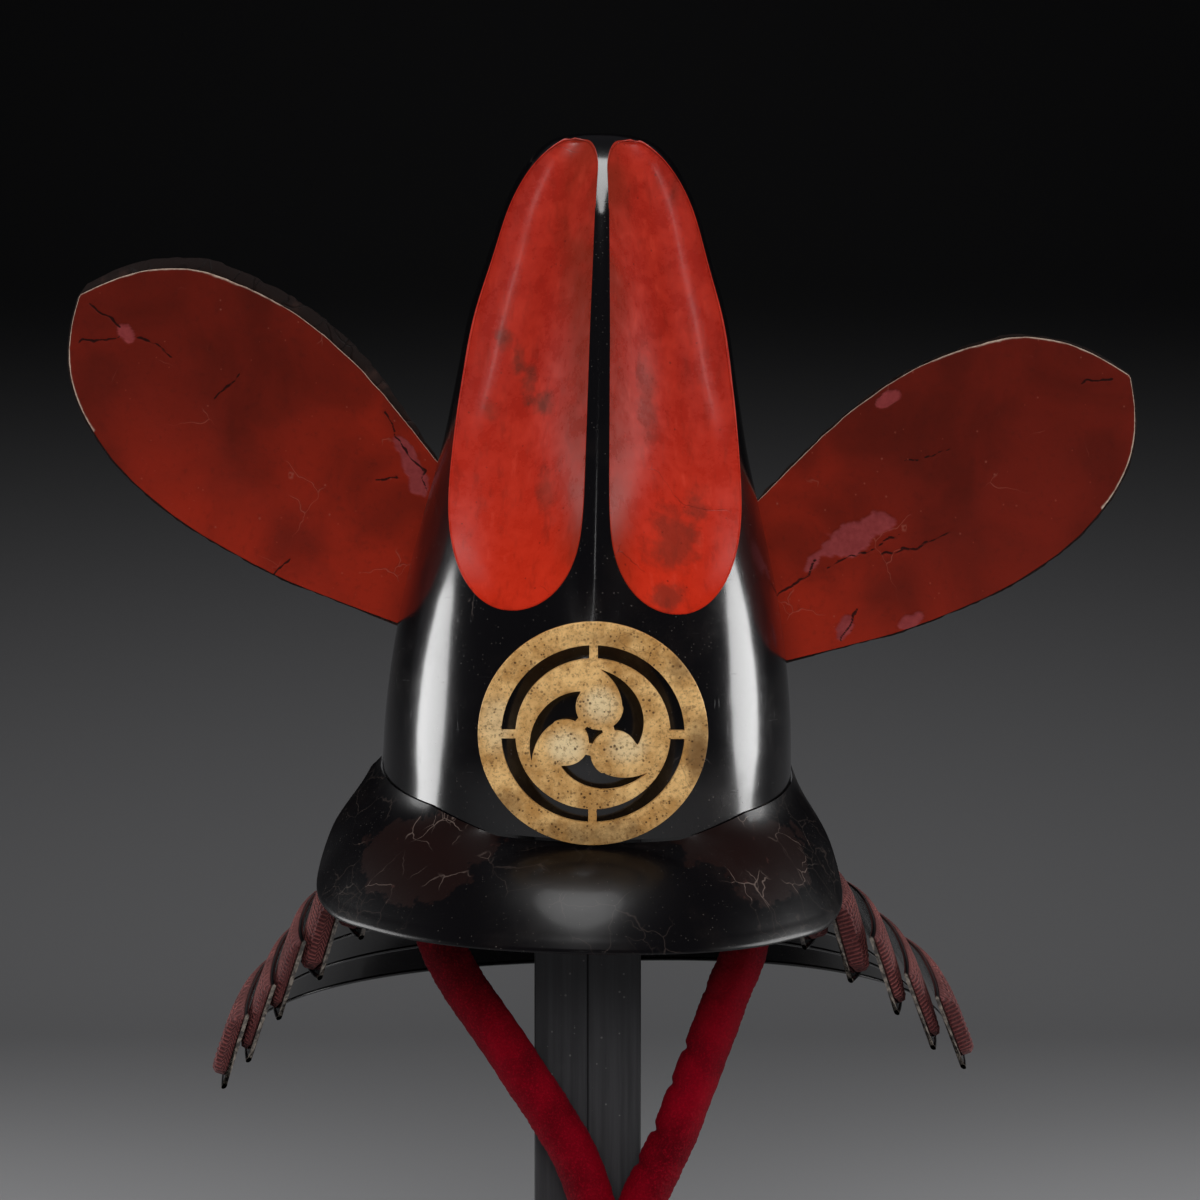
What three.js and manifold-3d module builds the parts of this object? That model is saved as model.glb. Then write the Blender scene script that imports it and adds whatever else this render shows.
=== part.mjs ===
// A kabuto, the helmet of a Japanese armour, in black, red and gold lacquer, held up by a plain post stand.
// Millimetres, +Z up. The face side looks towards -Y and +X is on the viewer's right.
// The origin is the middle of the base plate's underside.
// The helmet is shaped upright in its own frame, whose origin is the middle of the crown's rim, and is then set on
// the post with its nose down. Only the post, the base, the knot and the strands are placed in the stand's frame.
import * as THREE from "three";
import { mergeVertices } from "three/addons/utils/BufferGeometryUtils.js";
import Module from "manifold-3d";

const wasm = await Module();
wasm.setup();

const GAP = 0.35; // left between pieces that touch
const { degToRad, lerp } = THREE.MathUtils;

// How the helmet sits on its post: where the middle of the rim is, and its turns in degrees
const SEAT = { x: -0.8, y: 0, z: 391, noseDown: 12, leanRight: 1.4, turn: 1.1 };

// Crown: one oval section for each height above the rim
const CROWN = [
  { height: 0, half: 110, front: -120, back: 130 },
  { height: 36, half: 108.3, front: -117.5, back: 130 },
  { height: 70, half: 104.5, front: -111, back: 129 },
  { height: 105, half: 98.2, front: -99, back: 126 },
  { height: 140, half: 89.8, front: -85, back: 122 },
  { height: 175, half: 81.2, front: -69, back: 117 },
  { height: 210, half: 74.7, front: -52, back: 110 },
  { height: 245, half: 68.5, front: -34, back: 102 },
  { height: 275, half: 59.5, front: -16, back: 93 },
  { height: 300, half: 51.6, front: 2, back: 85 },
  { height: 315, half: 44.7, front: 14, back: 80 },
  { height: 325, half: 38, front: 24, back: 76 },
  { height: 332, half: 31, front: 34, back: 72 },
  { height: 336, half: 24, front: 42, back: 67 },
  { height: 338, half: 16, front: 48, back: 62 },
];
const CROWN_RINGS = [
  0, 20, 40, 60, 80, 100, 120, 140, 160, 180, 200, 220, 240, 260, 276, 291, 304, 315, 324, 331, 335.5, 338,
];
const CROWN_SQUARENESS = 2.25; // power of every oval on the crown: 2 is an ellipse
const CROWN_SIDES = 40;

// Head hollow: a dome inside the crown
const HOLLOW = { half: 98, front: -108, back: 118, height: 122, roundness: 2.4, below: 8, rings: 8, sides: 32 };

// Ear hollows: two long scoops in the crown's front, given by height and by shares of the crown's half width. Each
// edge opens from the hollow's middle over a height given for its lower and its upper end.
const EAR = {
  bottom: 110,
  top: 335.5,
  inner: 0.08,
  outer: 0.935,
  lowMiddle: 0.45,
  highMiddle: 0.55,
  innerOpens: [47, 12],
  outerOpens: [78, 38],
  dish: 20,
  thick: 3,
  room: 0.8,
  clearAhead: 90,
};

// Visor: its outer edge from the middle of the front round to the side, and its size on each side
const VISOR_EDGE = [
  { x: 0, y: -187, z: -34 },
  { x: 54, y: -173, z: -37 },
  { x: 100, y: -134, z: -43.5 },
  { x: 128, y: -93, z: -47 },
  { x: 136, y: -64, z: -43 },
  { x: 131, y: -38, z: -22 },
  { x: 114, y: 4, z: -2.5 },
];
const VISOR = { thick: 2.4, bulge: 0.08, flareLeft: 1.02, flareRight: 0.98, drop: 1.4, clear: 0.6 };

// Crest: a flat pierced disc. The tomoe's sizes are shares of the disc's radius, its angles degrees.
const CREST = { radius: 56.5, thick: 2.6, x: 0.6, y: -124.2, z: 55.5, turn: 1.2 };
const RING_INNER = 0.795;
const TOMOE_OUTER = 0.674;
const BAR_WIDTH = 0.074;
const HEAD = { radius: 0.206, reach: 0.252, angle: 78.5, nextArc: [45, -12], ownArc: [132, 70], holeArc: [199, 161] };
const SLOT = { startAngle: 28.5, start: 0.4, tipAngle: 127, tip: 0.585, backAngle: 88, back: 0.358 };
const CREST_PIN = { wide: 14, tall: 9, z: 4.5, reach: 6 };

// Wings: distance from the root along the wing, and its upper and lower edge there
const WING = [
  { along: -26, up: 33, down: -38 },
  { along: -6, up: 36.5, down: -44 },
  { along: 15, up: 41, down: -50 },
  { along: 45, up: 49.5, down: -58 },
  { along: 75, up: 57, down: -63 },
  { along: 105, up: 61, down: -66 },
  { along: 130, up: 61, down: -65.5 },
  { along: 155, up: 57, down: -62 },
  { along: 180, up: 49.5, down: -53.5 },
  { along: 198, up: 37.5, down: -43 },
  { along: 210, up: 25, down: -31 },
  { along: 219, up: 11.5, down: -16 },
  { along: 225, up: 0.6, down: -0.6 },
];
const WING_FACE = 2.2;
const WING_BACK = 1.8;
const WING_APART = 0.6;
const WING_BACK_RIM = 1.2; // how far the back layer stands out beyond the face all round
const WING_BACK_TOP = { from: 20, over: 60 }; // where along the wing the back layer reaches its full height
const WING_CAMBER = 5; // how far the middle of a wing is set back behind its edges
const WING_HALF = 64;
const WINGS = [
  { side: "left", mirror: -1, x: -91.3, y: 3, z: 515, raise: 36.1, sweep: 4, long: 1.03, backTop: 7 },
  { side: "right", mirror: 1, x: 99.2, y: 3, z: 495.5, raise: 29.5, sweep: 4, long: 1.01, backTop: 1.2 },
];
const PRONG = { from: -20, to: 58, tall: 12, thick: 3 };

// Neck guard: each lame's lower edge (half width, rear, end, and its height in front and behind), its upper edge, how
// far its front ends curve in (a smaller bow is more), and the degrees that it has swung to the left on its lacing
const LAMES = [
  [128, 137.5, -48, -80, -92, 107, 126, -0.8, 115, 0],
  [152, 147.5, -52, -99, -111, 138, 141.5, -55, 125, -1],
  [170.5, 157, -55, -118, -130, 155, 151, -74, 170, -1.8],
  [187, 166.5, -59, -138, -149, 171, 160.5, -95, 200, -2.4],
  [200.5, 176, -61, -150, -168, 185.5, 170, -109, 230, -2.9],
].map(([half, rear, end, front, back, upHalf, upRear, up, bow, swing]) => {
  return { half, rear, end, front, back, upHalf, upRear, up, bow, swing };
});
const LAME = { middle: 5, thick: 2, steps: 30, squareAtRim: 2.1, squarerBelow: 0.0025 };
// The lacing starts above the bare lower edge, and its inset and top are shares of the lame's length and height
const LACING = { gap: 0.6, thick: 3.2, bare: 13, inset: 0.004, top: 0.97, topUnderRim: 0.8 };

// Chin cord: a padded tube from a ring on each side of the rim to a knot, and a thin cord round the back
const CORD = { radius: 12, sides: 10, steps: 13 };
const CORD_LEFT = [
  [-80, -27.5, 389.6], [-80.5, -23.5, 370.5], [-82.5, -23, 349], [-82.5, -27, 326], [-77, -31, 303],
  [-64, -34, 280], [-48, -38, 258], [-33, -41.5, 236], [-19.5, -43.5, 216], [-8, -45, 197],
  [0, -47, 178], [4, -50, 160],
];
const CORD_RIGHT = [
  [79, -27.5, 385.7], [79.5, -23.5, 366.5], [83, -23, 346], [86, -27, 325], [83.5, -31, 303],
  [74, -34, 279], [64, -38, 253], [54.5, -41.5, 229], [46, -43.5, 207], [37.5, -45, 189],
  [29.5, -47, 173], [24, -50, 158],
];
const BACK_CORD = { radius: 5, sides: 8, steps: 26, inset: 7, height: 4 };
const RING = { inner: 68, outer: 106, front: -44, back: -12, bottom: 3, top: 10 };
const KNOT = { x: 14, y: -53, z: 148, wide: 31, deep: 23, tall: 25 };
const TAILS = [
  [[8, -55, 140], [2, -58, 112], [-4, -59, 84], [-7, -58, 58]],
  [[20, -54, 140], [27, -58, 114], [32, -60, 88], [33, -60, 64]],
];

// Stand: a base plate, a post of two bars side by side, and a head block that fills the dome above the post
const BASE = { wide: 280, tall: 20 };
const POST = { wide: 27.6, deep: 57, split: 1.2, top: 455 };
const HEAD_BLOCK = { radius: 38, sides: 24, tall: 90 };

const BLACK_LACQUER = { color: 0x0b0a0b, roughness: 0.18, metalness: 0.0 };
const RED_LACQUER = { color: 0xb5261a, roughness: 0.25, metalness: 0.0 };
const WING_RED = { color: 0x7c160d, roughness: 0.35, metalness: 0.0 };
const GILT = { color: 0xc8a468, roughness: 0.45, metalness: 0.85 };
const SILK_LACING = { color: 0x5a2c30, roughness: 0.85, metalness: 0.0 };
const CRIMSON_CREPE = { color: 0xa1062c, roughness: 0.9, metalness: 0.0 };
const STAND_GREY = { color: 0x2b2c2e, roughness: 0.6, metalness: 0.2 };

// ---- Closed skins and joins ----

// Turns every face outwards: a skin whose signed volume is negative is inside out.
function facingOut(geometry) {
  const p = geometry.attributes.position;
  const index = geometry.index.array;
  const [a, b, c] = [new THREE.Vector3(), new THREE.Vector3(), new THREE.Vector3()];
  let volume = 0;
  for (let i = 0; i < index.length; i += 3) {
    a.fromBufferAttribute(p, index[i]);
    b.fromBufferAttribute(p, index[i + 1]);
    c.fromBufferAttribute(p, index[i + 2]);
    volume += a.dot(b.cross(c));
  }
  if (volume < 0) {
    for (let i = 0; i < index.length; i += 3) [index[i], index[i + 1]] = [index[i + 1], index[i]];
  }
  return geometry;
}

// A closed skin through rings of equally many points. Each end ring is closed by zipping its two halves together.
function loft(rings) {
  const count = rings[0].length;
  const faces = [];
  for (let r = 0; r + 1 < rings.length; r += 1) {
    for (let i = 0; i < count; i += 1) {
      const j = (i + 1) % count;
      const [a, b, c, d] = [r * count + i, r * count + j, (r + 1) * count + j, (r + 1) * count + i];
      faces.push(a, b, c, a, c, d);
    }
  }
  const lastRing = (rings.length - 1) * count;
  for (let i = 0; 2 * i < count - 2; i += 1) {
    const [a, b, c, d] = [i, i + 1, count - 2 - i, count - 1 - i];
    faces.push(a, c, b, a, d, c);
    faces.push(lastRing + a, lastRing + b, lastRing + c, lastRing + a, lastRing + c, lastRing + d);
  }
  const geometry = new THREE.BufferGeometry().setFromPoints(rings.flat());
  geometry.setIndex(faces.filter((_, k) => keepsArea(faces, k)));
  return facingOut(geometry);
}

// Whether the triangle that holds entry k of a face list has three different corners.
function keepsArea(faces, k) {
  const first = k - (k % 3);
  return new Set([faces[first], faces[first + 1], faces[first + 2]]).size === 3;
}

function toManifold(geometry) {
  const bare = new THREE.BufferGeometry().setAttribute("position", geometry.attributes.position);
  if (geometry.index) bare.setIndex(geometry.index);
  const merged = mergeVertices(bare, 1e-4);
  const vertProperties = new Float32Array(merged.attributes.position.array);
  const triVerts = new Uint32Array(merged.index.array);
  return new wasm.Manifold(new wasm.Mesh({ numProp: 3, vertProperties, triVerts }));
}

function fromManifold(solid) {
  const mesh = solid.getMesh();
  const geometry = new THREE.BufferGeometry();
  geometry.setAttribute("position", new THREE.BufferAttribute(new Float32Array(mesh.vertProperties), 3));
  geometry.setIndex(new THREE.BufferAttribute(new Uint32Array(mesh.triVerts), 1));
  return geometry;
}

function cut(geometry, ...cutters) {
  const left = cutters.reduce((body, cutter) => body.subtract(toManifold(cutter)), toManifold(geometry));
  return fromManifold(left);
}

function join(geometry, ...others) {
  const whole = others.reduce((body, other) => body.add(toManifold(other)), toManifold(geometry));
  return fromManifold(whole);
}

function common(geometry, other) {
  return fromManifold(toManifold(geometry).intersect(toManifold(other)));
}

function block(x0, x1, y0, y1, z0, z1) {
  const box = new THREE.BoxGeometry(x1 - x0, y1 - y0, z1 - z0);
  return box.translate((x0 + x1) / 2, (y0 + y1) / 2, (z0 + z1) / 2);
}

// A round tube of a few sides along a smooth path through the given points.
function tube(points, radius, sides, steps) {
  const path = new THREE.CatmullRomCurve3(points.map((p) => new THREE.Vector3(...p)), false, "centripetal");
  const section = new THREE.Shape();
  for (let i = 0; i < sides; i += 1) {
    const angle = (2 * Math.PI * i) / sides;
    const method = i ? "lineTo" : "moveTo";
    section[method](radius * Math.cos(angle), radius * Math.sin(angle));
  }
  section.closePath();
  return new THREE.ExtrudeGeometry(section, { steps, bevelEnabled: false, extrudePath: path, curveSegments: 1 });
}

// ---- Ovals and tables ----

// A smooth value of one column of a table whose first column is the place: a cubic between neighbouring rows.
function between(table, place, column, at) {
  const last = table.length - 1;
  let i = 0;
  while (i < last - 1 && table[i + 1][place] < at) i += 1;
  const slope = (k) => {
    const [p, q] = [table[Math.max(k - 1, 0)], table[Math.min(k + 1, last)]];
    return (q[column] - p[column]) / (q[place] - p[place]);
  };
  const [a, b] = [table[i], table[i + 1]];
  const span = b[place] - a[place];
  const t = (at - a[place]) / span;
  const [startPull, endPull] = [slope(i) * span * t * (1 - t) ** 2, slope(i + 1) * span * t * t * (t - 1)];
  return lerp(a[column], b[column], t * t * (3 - 2 * t)) + startPull + endPull;
}

const rootOf = (value, power) => Math.sign(value) * Math.abs(value) ** power;

// A point on an oval lying level at height z: 0 degrees is the right side, -90 the front, 90 the back.
function ovalPoint({ half, front, back }, degrees, z, squareness) {
  const angle = degToRad(degrees);
  const x = half * rootOf(Math.cos(angle), 2 / squareness);
  const y = (front + back) / 2 + ((back - front) / 2) * rootOf(Math.sin(angle), 2 / squareness);
  return new THREE.Vector3(x, y, z);
}

function ovalRing(oval, z, squareness, sides) {
  return Array.from({ length: sides }, (_, i) => ovalPoint(oval, (360 * (i + 0.5)) / sides, z, squareness));
}

// ---- Crown and its hollows ----

function crownOval(height, grow = 0) {
  const [half, front, back] = ["half", "front", "back"].map((c) => between(CROWN, "height", c, height));
  return { half: half + grow, front: front - grow, back: back + grow };
}

function crownSkin(grow = 0) {
  const lift = (z) => z + grow * (z > CROWN.at(-2).height ? 1 : 0) - grow * (z === 0 ? 1 : 0);
  return loft(CROWN_RINGS.map((z) => ovalRing(crownOval(z, grow), lift(z), CROWN_SQUARENESS, CROWN_SIDES)));
}

// The head hollow's dome, made smaller by shrink, and open well below the rim.
function hollowSkin(shrink = 0) {
  const rings = [];
  const tall = HOLLOW.height - shrink;
  for (let k = -1; k <= HOLLOW.rings; k += 1) {
    const rise = k < 0 ? 0 : Math.sin((Math.PI / 2) * (k / (HOLLOW.rings + 0.35)));
    const share = (1 - rise ** HOLLOW.roundness) ** (1 / HOLLOW.roundness);
    const middle = (HOLLOW.front + HOLLOW.back) / 2;
    const deep = ((HOLLOW.back - HOLLOW.front) / 2 - shrink) * share;
    const oval = { half: (HOLLOW.half - shrink) * share, front: middle - deep, back: middle + deep };
    rings.push(ovalRing(oval, k < 0 ? -HOLLOW.below : rise * tall, CROWN_SQUARENESS, HOLLOW.sides));
  }
  return loft(rings);
}

// The y of the crown's front at one x and height.
function crownFront(x, height) {
  const { half, front, back } = crownOval(height);
  const share = Math.max(0, 1 - Math.abs(x / half) ** CROWN_SQUARENESS) ** (1 / CROWN_SQUARENESS);
  return (front + back) / 2 - ((back - front) / 2) * share;
}

// How far a rounded end has opened: 0 at the end, 1 once t reaches 1.
const opened = (t, bend, power) => (1 - (1 - Math.min(t, 1)) ** bend) ** (1 / power);

// A hollow's inner and outer edge at one height, as shares of the crown's half width there.
function earEdges(height) {
  const [up, down] = [height - EAR.bottom, EAR.top - height];
  const low = up < down;
  const middle = low ? EAR.lowMiddle : EAR.highMiddle;
  const inner = low ? opened(up / EAR.innerOpens[0], 2, 2) : opened(down / EAR.innerOpens[1], 2, 3);
  const outer = low ? opened(up / EAR.outerOpens[0], 1.7, 2) : opened(down / EAR.outerOpens[1], 2, 4);
  return [middle - (middle - EAR.inner) * inner, middle + (EAR.outer - middle) * outer];
}

// A point on a hollow's scooped face: rise runs from its lower to its upper end, across from -1 at the ridge to 1.
// The face hangs between the two edges and is dished backwards between them.
function earPoint(rise, across, grow = 0) {
  const height = lerp(EAR.bottom, EAR.top, rise);
  const { half } = crownOval(height);
  const [inner, outer] = earEdges(height).map((share) => share * half);
  const [yInner, yOuter] = [crownFront(inner, height), crownFront(outer, height)];
  const t = (across + 1) / 2;
  const dish = EAR.dish * Math.sin(Math.PI * rise) ** 0.6 * (1 - across ** 2) ** 0.8;
  const z = height + grow * (rise < 0.01 ? -1 : rise > 0.99 ? 1 : 0);
  return new THREE.Vector3(lerp(inner - grow, outer + grow, t), lerp(yInner, yOuter, t) + dish, z);
}

// A closed skin behind a hollow's face: from the face moved by fore to the face moved by aft, along y.
function earSkin(side, fore, aft, grow = 0) {
  const [rows, columns] = [14, 8];
  const rings = [];
  for (let r = 0; r <= rows; r += 1) {
    const rise = (1 - Math.cos(Math.PI * lerp(0.03, 0.97, r / rows))) / 2;
    const face = [];
    for (let c = 0; c <= columns; c += 1) {
      face.push(earPoint(rise, -Math.cos((Math.PI * c) / columns), grow));
    }
    const moved = (p, by) => new THREE.Vector3(side * p.x, p.y + by, p.z);
    rings.push([...face.map((p) => moved(p, fore)), ...face.reverse().map((p) => moved(p, aft))]);
  }
  return loft(rings);
}

function crownSolid() {
  const pockets = [-1, 1].map((side) => earSkin(side, -EAR.clearAhead, EAR.thick + EAR.room, EAR.room));
  return cut(crownSkin(), hollowSkin(), ...pockets);
}

// ---- Visor ----

// The outer edge's smooth curve from side to side, through the mirrored points of its right half.
function visorEdge() {
  const right = VISOR_EDGE.map(({ x, y, z }) => new THREE.Vector3(x * VISOR.flareRight, y, z));
  const left = VISOR_EDGE.slice(1).map(({ x, y, z }) => new THREE.Vector3(-x * VISOR.flareLeft, y, z));
  return new THREE.CatmullRomCurve3([...left.reverse(), ...right], false, "centripetal");
}

// A plate that leaves the rim, swells a little and comes down to its outer edge.
function visorSolid() {
  const [steps, columns] = [32, 5];
  const edge = visorEdge();
  const rim = crownOval(0, VISOR.clear);
  const rings = [];
  for (let s = 0; s <= steps; s += 1) {
    const inner = ovalPoint(rim, -180 + (180 * s) / steps, -VISOR.drop, CROWN_SQUARENESS);
    const outer = edge.getPointAt(s / steps);
    const swell = VISOR.bulge * inner.distanceTo(outer);
    const top = [];
    for (let c = 0; c <= columns; c += 1) {
      const t = c / columns;
      top.push(inner.clone().lerp(outer, t).add(new THREE.Vector3(0, 0, 4 * swell * t * (1 - t))));
    }
    const under = top.map((p) => p.clone().setZ(p.z - VISOR.thick)).reverse();
    rings.push([...top, ...under]);
  }
  return loft(rings);
}

// ---- Crest ----

function polar(share, degrees) {
  const [x, y] = [Math.cos(degToRad(degrees)), Math.sin(degToRad(degrees))];
  return new THREE.Vector2(x, y).multiplyScalar(share * CREST.radius);
}

// Points along an arc about a centre, or along a spiral when the two radii differ.
function arcPoints(centre, fromShare, toShare, fromDegrees, toDegrees, steps) {
  return Array.from({ length: steps + 1 }, (_, i) => {
    const t = i / steps;
    return polar(lerp(fromShare, toShare, t), lerp(fromDegrees, toDegrees, t)).add(centre);
  });
}

const CENTRE = new THREE.Vector2();

// One of the four slots between the outer ring and the tomoe, between two bars.
function ringSlot(quarter) {
  const start = 90 * quarter + CREST.turn;
  const inset = (share) => THREE.MathUtils.radToDeg(Math.asin(BAR_WIDTH / 2 / share));
  const [far, near] = [inset(RING_INNER), inset(TOMOE_OUTER)];
  const outer = arcPoints(CENTRE, RING_INNER, RING_INNER, start + far, start + 90 - far, 9);
  const inner = arcPoints(CENTRE, TOMOE_OUTER, TOMOE_OUTER, start + 90 - near, start + near, 9);
  return [...outer, ...inner];
}

// The slot beside one comma: out along a spiral under its tail, back along the next comma, then round both heads.
function tomoeSlot(third) {
  const turn = HEAD.angle + 120 * third;
  const next = turn + 120;
  const tail = arcPoints(CENTRE, SLOT.start, SLOT.tip, turn + SLOT.startAngle, turn + SLOT.tipAngle, 10);
  const back = arcPoints(CENTRE, SLOT.tip, SLOT.back, turn + SLOT.tipAngle, turn + SLOT.backAngle, 4).slice(1);
  const roundHead = (angle, [from, to]) =>
    arcPoints(polar(HEAD.reach, angle), HEAD.radius, HEAD.radius, turn + from, turn + to, 4);
  return [...tail, ...back, ...roundHead(next, HEAD.nextArc).slice(1), ...roundHead(turn, HEAD.ownArc)];
}

// The small three-cornered hole between the heads.
function middleHole() {
  return [0, 1, 2].flatMap((k) => {
    const turn = HEAD.angle + 120 * k;
    const [from, to] = HEAD.holeArc;
    return arcPoints(polar(HEAD.reach, turn), HEAD.radius, HEAD.radius, turn + from, turn + to, 3);
  });
}

function crestSolid() {
  const disc = new THREE.Shape(arcPoints(CENTRE, 1, 1, 0, 360 - 360 / 48, 47));
  const slots = [0, 1, 2, 3].map(ringSlot);
  const commas = [0, 1, 2].map(tomoeSlot);
  disc.holes = [...slots, ...commas, middleHole()].map((points) => new THREE.Path(points));
  const flat = new THREE.ExtrudeGeometry(disc, { depth: CREST.thick, bevelEnabled: false, curveSegments: 1 });
  return flat.rotateX(Math.PI / 2).translate(CREST.x, CREST.y, CREST.z);
}

// A plain pin between the crown and the back of the crest's ring.
function crestPin() {
  const { wide, tall, z, reach } = CREST_PIN;
  const [front, back] = [CREST.y + GAP, crownOval(0).front + reach];
  const bar = block(CREST.x - wide / 2, CREST.x + wide / 2, front, back, z - tall / 2, z + tall / 2);
  return cut(bar, crownSkin(GAP));
}

// ---- Placing the helmet ----

function place(object) {
  object.position.set(SEAT.x, SEAT.y, SEAT.z);
  object.rotation.set(degToRad(SEAT.noseDown), degToRad(SEAT.leanRight), degToRad(SEAT.turn), "ZYX");
  object.updateMatrixWorld(true);
  return object;
}

const TO_HELMET = place(new THREE.Group()).matrixWorld.clone().invert();

// ---- Wings ----

// A wing layer's skin in the helmet's frame, between two depths behind its front. Its outline is grown by rim, and by
// topRim along the upper edge.
function wingLayer(wing, fore, aft, rim, topRim) {
  const columns = 4;
  const middles = WING.slice(0, 8).map((row, i) => (row.along + WING[i + 1].along) / 2);
  const places = [...WING.map((row) => row.along), ...middles].sort((a, b) => a - b);
  const rings = places.map((along) => {
    const spread = Math.min(1, Math.max(0, (along - WING_BACK_TOP.from) / WING_BACK_TOP.over));
    const up = between(WING, "along", "up", along) + lerp(rim, topRim, spread);
    const down = between(WING, "along", "down", along) - rim;
    const reach = wing.long * along + (along > 0 ? rim : 0);
    const face = [];
    for (let c = 0; c <= columns; c += 1) {
      const height = lerp(down, up, c / columns);
      face.push([wing.mirror * reach, WING_CAMBER * (1 - (height / WING_HALF) ** 2), height]);
    }
    const moved = ([x, y, z], by) => new THREE.Vector3(x, y + by, z);
    return [...face.map((p) => moved(p, fore)), ...face.reverse().map((p) => moved(p, aft))];
  });
  return atRoot(loft(rings), wing);
}

// Turns a shape made along a wing to the wing's raise and sweep, at its root, in the helmet's frame.
function atRoot(geometry, wing) {
  const root = new THREE.Group();
  root.position.set(wing.x, wing.y, wing.z);
  root.rotation.set(0, -wing.mirror * degToRad(wing.raise), wing.mirror * degToRad(wing.sweep), "ZYX");
  root.updateMatrixWorld(true);
  return geometry.applyMatrix4(root.matrixWorld).applyMatrix4(TO_HELMET);
}

function prongSolid(wing, depth) {
  const [x0, x1] = [wing.mirror * PRONG.from, wing.mirror * PRONG.to].sort((a, b) => a - b);
  const bar = block(x0, x1, depth, depth + PRONG.thick, -PRONG.tall / 2, PRONG.tall / 2);
  return cut(atRoot(bar, wing), crownSkin(GAP));
}

function wingMeshes(wing) {
  const backFront = WING_FACE + WING_APART;
  const prongFront = backFront + WING_BACK + WING_APART + WING_CAMBER;
  const clear = crownSkin(GAP);
  const face = cut(wingLayer(wing, 0, WING_FACE, 0, 0), clear);
  const backLayer = wingLayer(wing, backFront, backFront + WING_BACK, WING_BACK_RIM, wing.backTop);
  const back = cut(backLayer, clear);
  return [
    named(`wing_${wing.side}_face`, face, WING_RED),
    named(`wing_${wing.side}_back`, back, BLACK_LACQUER),
    named(`wing_${wing.side}_prong`, prongSolid(wing, prongFront), BLACK_LACQUER),
  ];
}

// ---- Neck guard ----

// A point on the lower or the upper edge of a lame's outer face, moved outwards: turn runs from the right front end
// round the back to the left one.
function lameEdge(lame, turn, isUpper, out) {
  const [half, rear] = isUpper ? [lame.upHalf, lame.upRear] : [lame.half, lame.rear];
  const square = LAME.squareAtRim - LAME.squarerBelow * lame.front;
  const start = THREE.MathUtils.radToDeg(Math.asin(((LAME.middle - lame.end) / lame.bow) ** (square / 2)));
  const degrees = lerp(-start, 180 + start, turn);
  const depth = (degrees < 0 || degrees > 180 ? lame.bow : rear - LAME.middle) + out;
  const oval = { half: half + out, front: LAME.middle - depth, back: LAME.middle + depth };
  const point = ovalPoint(oval, degrees, 0, square);
  const backward = (point.y - lame.end) / (lame.rear - lame.end);
  const low = lerp(lame.front, lame.back, backward);
  const high = lame === LAMES[0] ? lame.up : low + (lame.up - lame.front);
  return point.setZ(isUpper ? high : low);
}

// A point on a lame's straight slope, from 0 at its lower edge to 1 at its upper edge.
function lamePoint(lame, turn, rise, out) {
  return lameEdge(lame, turn, false, out).lerp(lameEdge(lame, turn, true, out), rise);
}

function lameBand(lame, from, to, rise0, rise1, inner, outer) {
  const rings = [];
  for (let s = 0; s <= LAME.steps; s += 1) {
    const turn = lerp(from, to, s / LAME.steps);
    rings.push([
      lamePoint(lame, turn, rise0, outer),
      lamePoint(lame, turn, rise1, outer),
      lamePoint(lame, turn, rise1, inner),
      lamePoint(lame, turn, rise0, inner),
    ]);
  }
  return loft(rings);
}

function lameMeshes(lame, i) {
  const tall = lame.up - lame.front;
  const { inset, gap, thick } = LACING;
  const top = i ? LACING.top : LACING.topUnderRim;
  const plate = lameBand(lame, 0, 1, 0, 1, -LAME.thick, 0);
  const lacing = lameBand(lame, inset, 1 - inset, LACING.bare / tall, top, gap, gap + thick);
  const meshes = [
    named(`neck_lame_${i + 1}`, plate, BLACK_LACQUER),
    named(`lacing_${i + 1}`, lacing, SILK_LACING),
  ];
  for (const mesh of meshes) mesh.rotation.y = degToRad(lame.swing);
  return meshes;
}

// ---- Chin cord ----

function knotBody(grow = 0) {
  const ball = new THREE.SphereGeometry(1, 14, 9);
  ball.scale(KNOT.wide + grow, KNOT.deep + grow, KNOT.tall + grow);
  return ball.translate(KNOT.x, KNOT.y, KNOT.z);
}

function knotSolid() {
  return join(knotBody(), ...TAILS.map((points) => tube(points, CORD.radius - 1, CORD.sides, 4)));
}

// A strand along its route, cut short under the rings and clear of the knot.
function cordStrand(points) {
  const { half, front, back } = HOLLOW;
  const aboveRings = block(-half, half, front, back, RING.bottom - GAP, RING.top + CORD.radius);
  aboveRings.applyMatrix4(place(new THREE.Group()).matrixWorld);
  return cut(tube(points, CORD.radius, CORD.sides, CORD.steps), knotBody(GAP), aboveRings);
}

// A plain lug that holds one end of the cord, on the wall of the head hollow just above the rim.
function cordRing(side) {
  const [x0, x1] = [side * RING.inner, side * RING.outer].sort((a, b) => a - b);
  return common(block(x0, x1, RING.front, RING.back, RING.bottom, RING.top), hollowSkin(GAP));
}

// The thin cord that closes the loop round the back, just inside the wall of the head hollow.
function backCord() {
  const wall = { half: HOLLOW.half, front: HOLLOW.front, back: HOLLOW.back };
  const points = [];
  for (let degrees = -5; degrees <= 185; degrees += 10) {
    const p = ovalPoint(wall, degrees, BACK_CORD.height, CROWN_SQUARENESS);
    const middle = new THREE.Vector3(0, (wall.front + wall.back) / 2, BACK_CORD.height);
    const inward = middle.clone().sub(p).setLength(BACK_CORD.inset);
    points.push(p.add(inward).toArray());
  }
  return tube(points, BACK_CORD.radius, BACK_CORD.sides, BACK_CORD.steps);
}

// ---- Stand ----

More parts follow.
